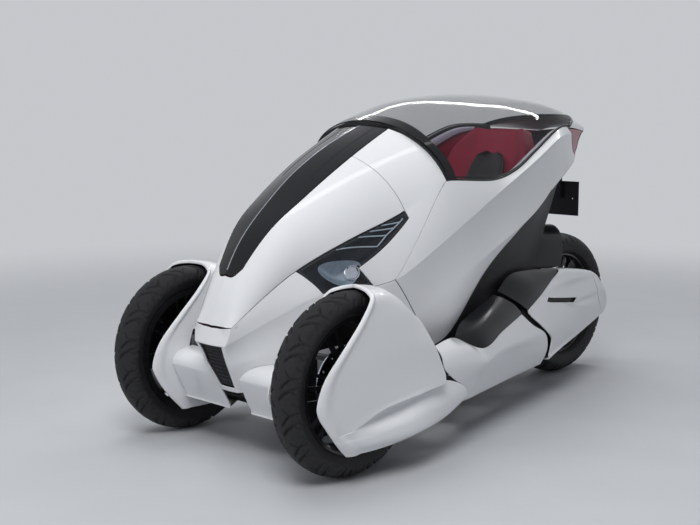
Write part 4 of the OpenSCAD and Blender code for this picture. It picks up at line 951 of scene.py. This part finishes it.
def seat_grid(w, lift, us, rise=58):
    """A grid of width w along the seat, lifted off its line, with sides that rise."""
    line = np.array(SEAT, float)
    d = np.gradient(line, axis=0)
    rows = []
    for i, (y, z) in enumerate(SEAT):
        n = unit(vec(0, -d[i, 1], d[i, 0]))
        side = rise * (0.5 if i == len(SEAT) - 1 else 1)
        rows.append([vec(u * w / 2 * SEAT_TAPER[i], y, z)
                     + n * (lift + side * max(0, (abs(u) - 0.5) / 0.5) ** 1.4) for u in us])
    return np.array(rows)


half_u = [0.2, 0.4, 0.55, 0.68, 0.8, 0.9, 0.97, 1]
seat_u = [-u for u in half_u[::-1]] + [0] + half_u
seat_top = seat_grid(SEAT_W, 0, seat_u)
seat_low = seat_grid(SEAT_W, -26, seat_u, 0)
seat_low[:, :, 2] = np.maximum(seat_low[:, :, 2], 334.5)
roll = np.array([12 * max(0, 1 - (1 - abs(u)) / 0.2) ** 2 for u in seat_u])
seat_top[:, :, 2] -= roll[None]
panel("seat_shell", refine(seat_top, 5, 3), refine(seat_low, 5, 3), bevel=7, sharp=60)
pad_u = np.linspace(-PAD_EDGE, PAD_EDGE, 33)
pad_top, pad_low = [refine(seat_grid(PAD_W, lift, pad_u)[1:10], 9, 1) for lift in (26, 0.6)]
way = pad_top - pad_low
rows = np.arange(len(pad_top))[:, None]
cols = pad_u[None]
swell = (1 - np.abs(cols / PAD_EDGE) ** 6) * (1 - np.abs(2 * rows / rows[-1] - 1) ** 14)
seam_lines = np.exp(-((rows % 12 - 6) / 0.9) ** 2) + np.exp(-((np.abs(cols) - 0.5) / 0.03) ** 2)
ends = (1 - np.abs(2 * rows / rows[-1] - 1) ** 10) ** 0.35 * 0.75 + 0.25
pad_low[:, :, 0] *= ends
pad_top = pad_low + way * (0.25 + 0.75 * swell * (1 - 0.22 * np.clip(seam_lines, 0, 1)))[:, :, None]
cushion = panel("seat_pad", pad_top, pad_low, bevel=1.5, sharp=60)

# Steering wheel: rim, hub, stub of the column and three spokes
WHEEL_TILT, WHEEL_R = radians(64), 145
hub = vec(0, -165, 890)
face = vec(0, sin(WHEEL_TILT), cos(WHEEL_TILT))
across = vec(1, 0, 0)
upward = np.cross(face, across)
rim = [hub + WHEEL_R * (cos(a) * across + sin(a) * upward) for a in around(96)]
wheel = [tube(rim, 13, 16, True),
         turned([(0.5, -12), (36, -12), (42, -6), (42, 5), (34, 11), (0.5, 13)], hub, face, 48),
         turned([(9, -120), (9, -10)], hub, face, 24)]


def spoke_point(out, k, w):
    """A point of a spoke, k from the hub to the rim and w across it."""
    wide = np.cross(face, out) * w * (17 - 16 * k * (1 - k))
    return hub + out * (34 + 104 * k) + wide + face * (4 + 3 * sin(pi * k))


for a in (90, 210, 330):
    out = cos(radians(a)) * across - sin(radians(a)) * upward
    spoke = np.array([[spoke_point(out, k, w) for w in np.linspace(-1, 1, 7)] for k in np.linspace(0, 1, 9)])
    wheel.append(wall_mesh(spoke, spoke - face * 10))
add("steering_wheel_skin", *join(*wheel), "dark_leather", NODE_BODY["steering_wheel"], ["steering_wheel"],
    bevel=1.5, sharp=40)

# Running gear and small parts: CAD shapes with rounded edges
# Bright faces of the front rims: depth from the wheel's middle and distance from the axle, in metres
RIM_DEPTH, RIM_BRIGHT = (-0.0206, -0.0144), (0.04, 0.12)
ROUNDED = dict(chassis=3, axle_beam=3, battery_block=4, swing_arm=3, hub_motor=4, dash_panel=3.5,
               steering_column=2, plate_carrier=1.5, knuckle_left=2, knuckle_right=2, rim_left=1.6,
               rim_right=1.6, rear_rim=1.6)
for node, bevel in ROUNDED.items():
    part = dress(node, bevel)
    s = dict(rim_left=1, rim_right=-1).get(node)
    if s:
        part.data.materials.append(BRIGHT)
        for poly in part.data.polygons:
            x, y, z = poly.center
            depth = s * x - WHEEL_X * MM
            r = hypot(y - FRONT_Y * MM, z - FRONT_R * MM)
            if RIM_DEPTH[0] < depth < RIM_DEPTH[1] and RIM_BRIGHT[0] < r < RIM_BRIGHT[1]:
                poly.material_index = 1


# Floor, light and camera
def looked_at(nt):
    """1 where the camera, a reflection or glass shows the backdrop, and 0 where it lights the object."""
    path = put(nt, "LightPath", {})
    value = path["Is Camera Ray"]
    for ray in ("Is Glossy Ray", "Is Transmission Ray"):
        value = put(nt, "Math", {0: value, 1: path[ray]}, operation="MAXIMUM")["Value"]
    return value


scene = bpy.context.scene
scene.view_settings.view_transform = "Standard"
FLOOR_HALF = 60
PALE = (0.56, 0.575, 0.60)
floor_me = bpy.data.meshes.new("floor")
floor_me.from_pydata([(x * FLOOR_HALF, y * FLOOR_HALF, 0) for x, y in ((-1, -1), (1, -1), (1, 1), (-1, 1))],
                     [], [(0, 1, 2, 3)])
floor = bpy.data.objects.new("floor", floor_me)
scene.collection.objects.link(floor)
ground = material("floor", PALE, 0.6, grain=0.02, grain_scale=3)
floor_me.materials.append(ground)
nt = ground.node_tree
floor_at = nt.nodes["Texture Coordinate"].outputs["Object"]
length = put(nt, "VectorMath", {0: floor_at}, operation="LENGTH")["Value"]
away = put(nt, "MapRange", {"Value": length, "From Min": 1.6, "From Max": 6.0},
           interpolation_type="SMOOTHSTEP")
share = put(nt, "Math", {0: away["Result"], 1: looked_at(nt)}, operation="MULTIPLY")["Value"]
near = nt.nodes["Principled BSDF"].outputs["BSDF"]
far = put(nt, "Emission", {"Color": (*PALE, 1)})["Emission"]
blend = put(nt, "MixShader", {"Fac": share, 1: near, 2: far})["Shader"]
feed(nt, nt.nodes["Material Output"], {"Surface": blend})

world = bpy.data.worlds.new("world")
scene.world = world
world.use_nodes = True
nt = world.node_tree
light = nt.nodes["Background"]
feed(nt, light, {"Color": (0.80, 0.84, 0.90, 1), "Strength": 0.24})
seen = put(nt, "Background", {"Color": (*PALE, 1)})["Background"]
blend = put(nt, "MixShader", {"Fac": looked_at(nt), 1: light.outputs["Background"], 2: seen})["Shader"]
feed(nt, nt.nodes["World Output"], {"Surface": blend})


def area(name, place, target, size, power, along=None, mirror=True):
    """A soft light; along is the way its long side runs, and mirror False keeps it out of reflections."""
    lamp = bpy.data.lights.new(name, "AREA")
    lamp.shape = "ELLIPSE"
    lamp.size, lamp.size_y = size
    lamp.energy = power
    ob = bpy.data.objects.new(name, lamp)
    scene.collection.objects.link(ob)
    back = (Vector(place) - Vector(target)).normalized()
    x = Vector(along) if along else back.cross(Vector((0, 0, 1))) * -1
    x = (x - back * x.dot(back)).normalized()
    turn = Matrix((x, back.cross(x), back)).transposed()
    ob.matrix_world = Matrix.Translation(place) @ turn.to_4x4()
    ob.visible_glossy = mirror


area("key", (1.9, -2.9, 4.0), (0, -0.1, 0.6), (2.4, 2.0), 112, mirror=False)
area("top", (-1.5, -0.6, 4.8), (0, 0, 0.5), (3.6, 3.0), 70, mirror=False)
area("back_strip", (-1.2, 2.4, 2.92), (0, 0.1, 1.1), (4.2, 0.07), 32, along=(2.86, 1.4, 0.55))
area("roof_strip", (0.9, -0.9, 3.4), (0.2, -0.3, 0.6), (3.4, 0.3), 8, along=(0.25, 1, 0))
area("front_fill", (0.2, -5.4, 2.2), (0, -0.6, 0.5), (3.0, 1.4), 20)

# Camera as fitted to the photograph: place in metres, and its right, upward and backward axis
CAMERA_AT = (2.9961, -3.4643, 1.1809)
CAMERA_AXES = ((0.71094, 0.70325, 0), (-0.0934, 0.09442, 0.99114), (0.69702, -0.70464, 0.13281))
cam_data = bpy.data.cameras.new("camera")
cam_data.sensor_width = 36
cam_data.lens = 60.28
camera = bpy.data.objects.new("camera", cam_data)
scene.collection.objects.link(camera)
camera.matrix_world = Matrix.Translation(CAMERA_AT) @ Matrix(CAMERA_AXES).transposed().to_4x4()
scene.camera = camera
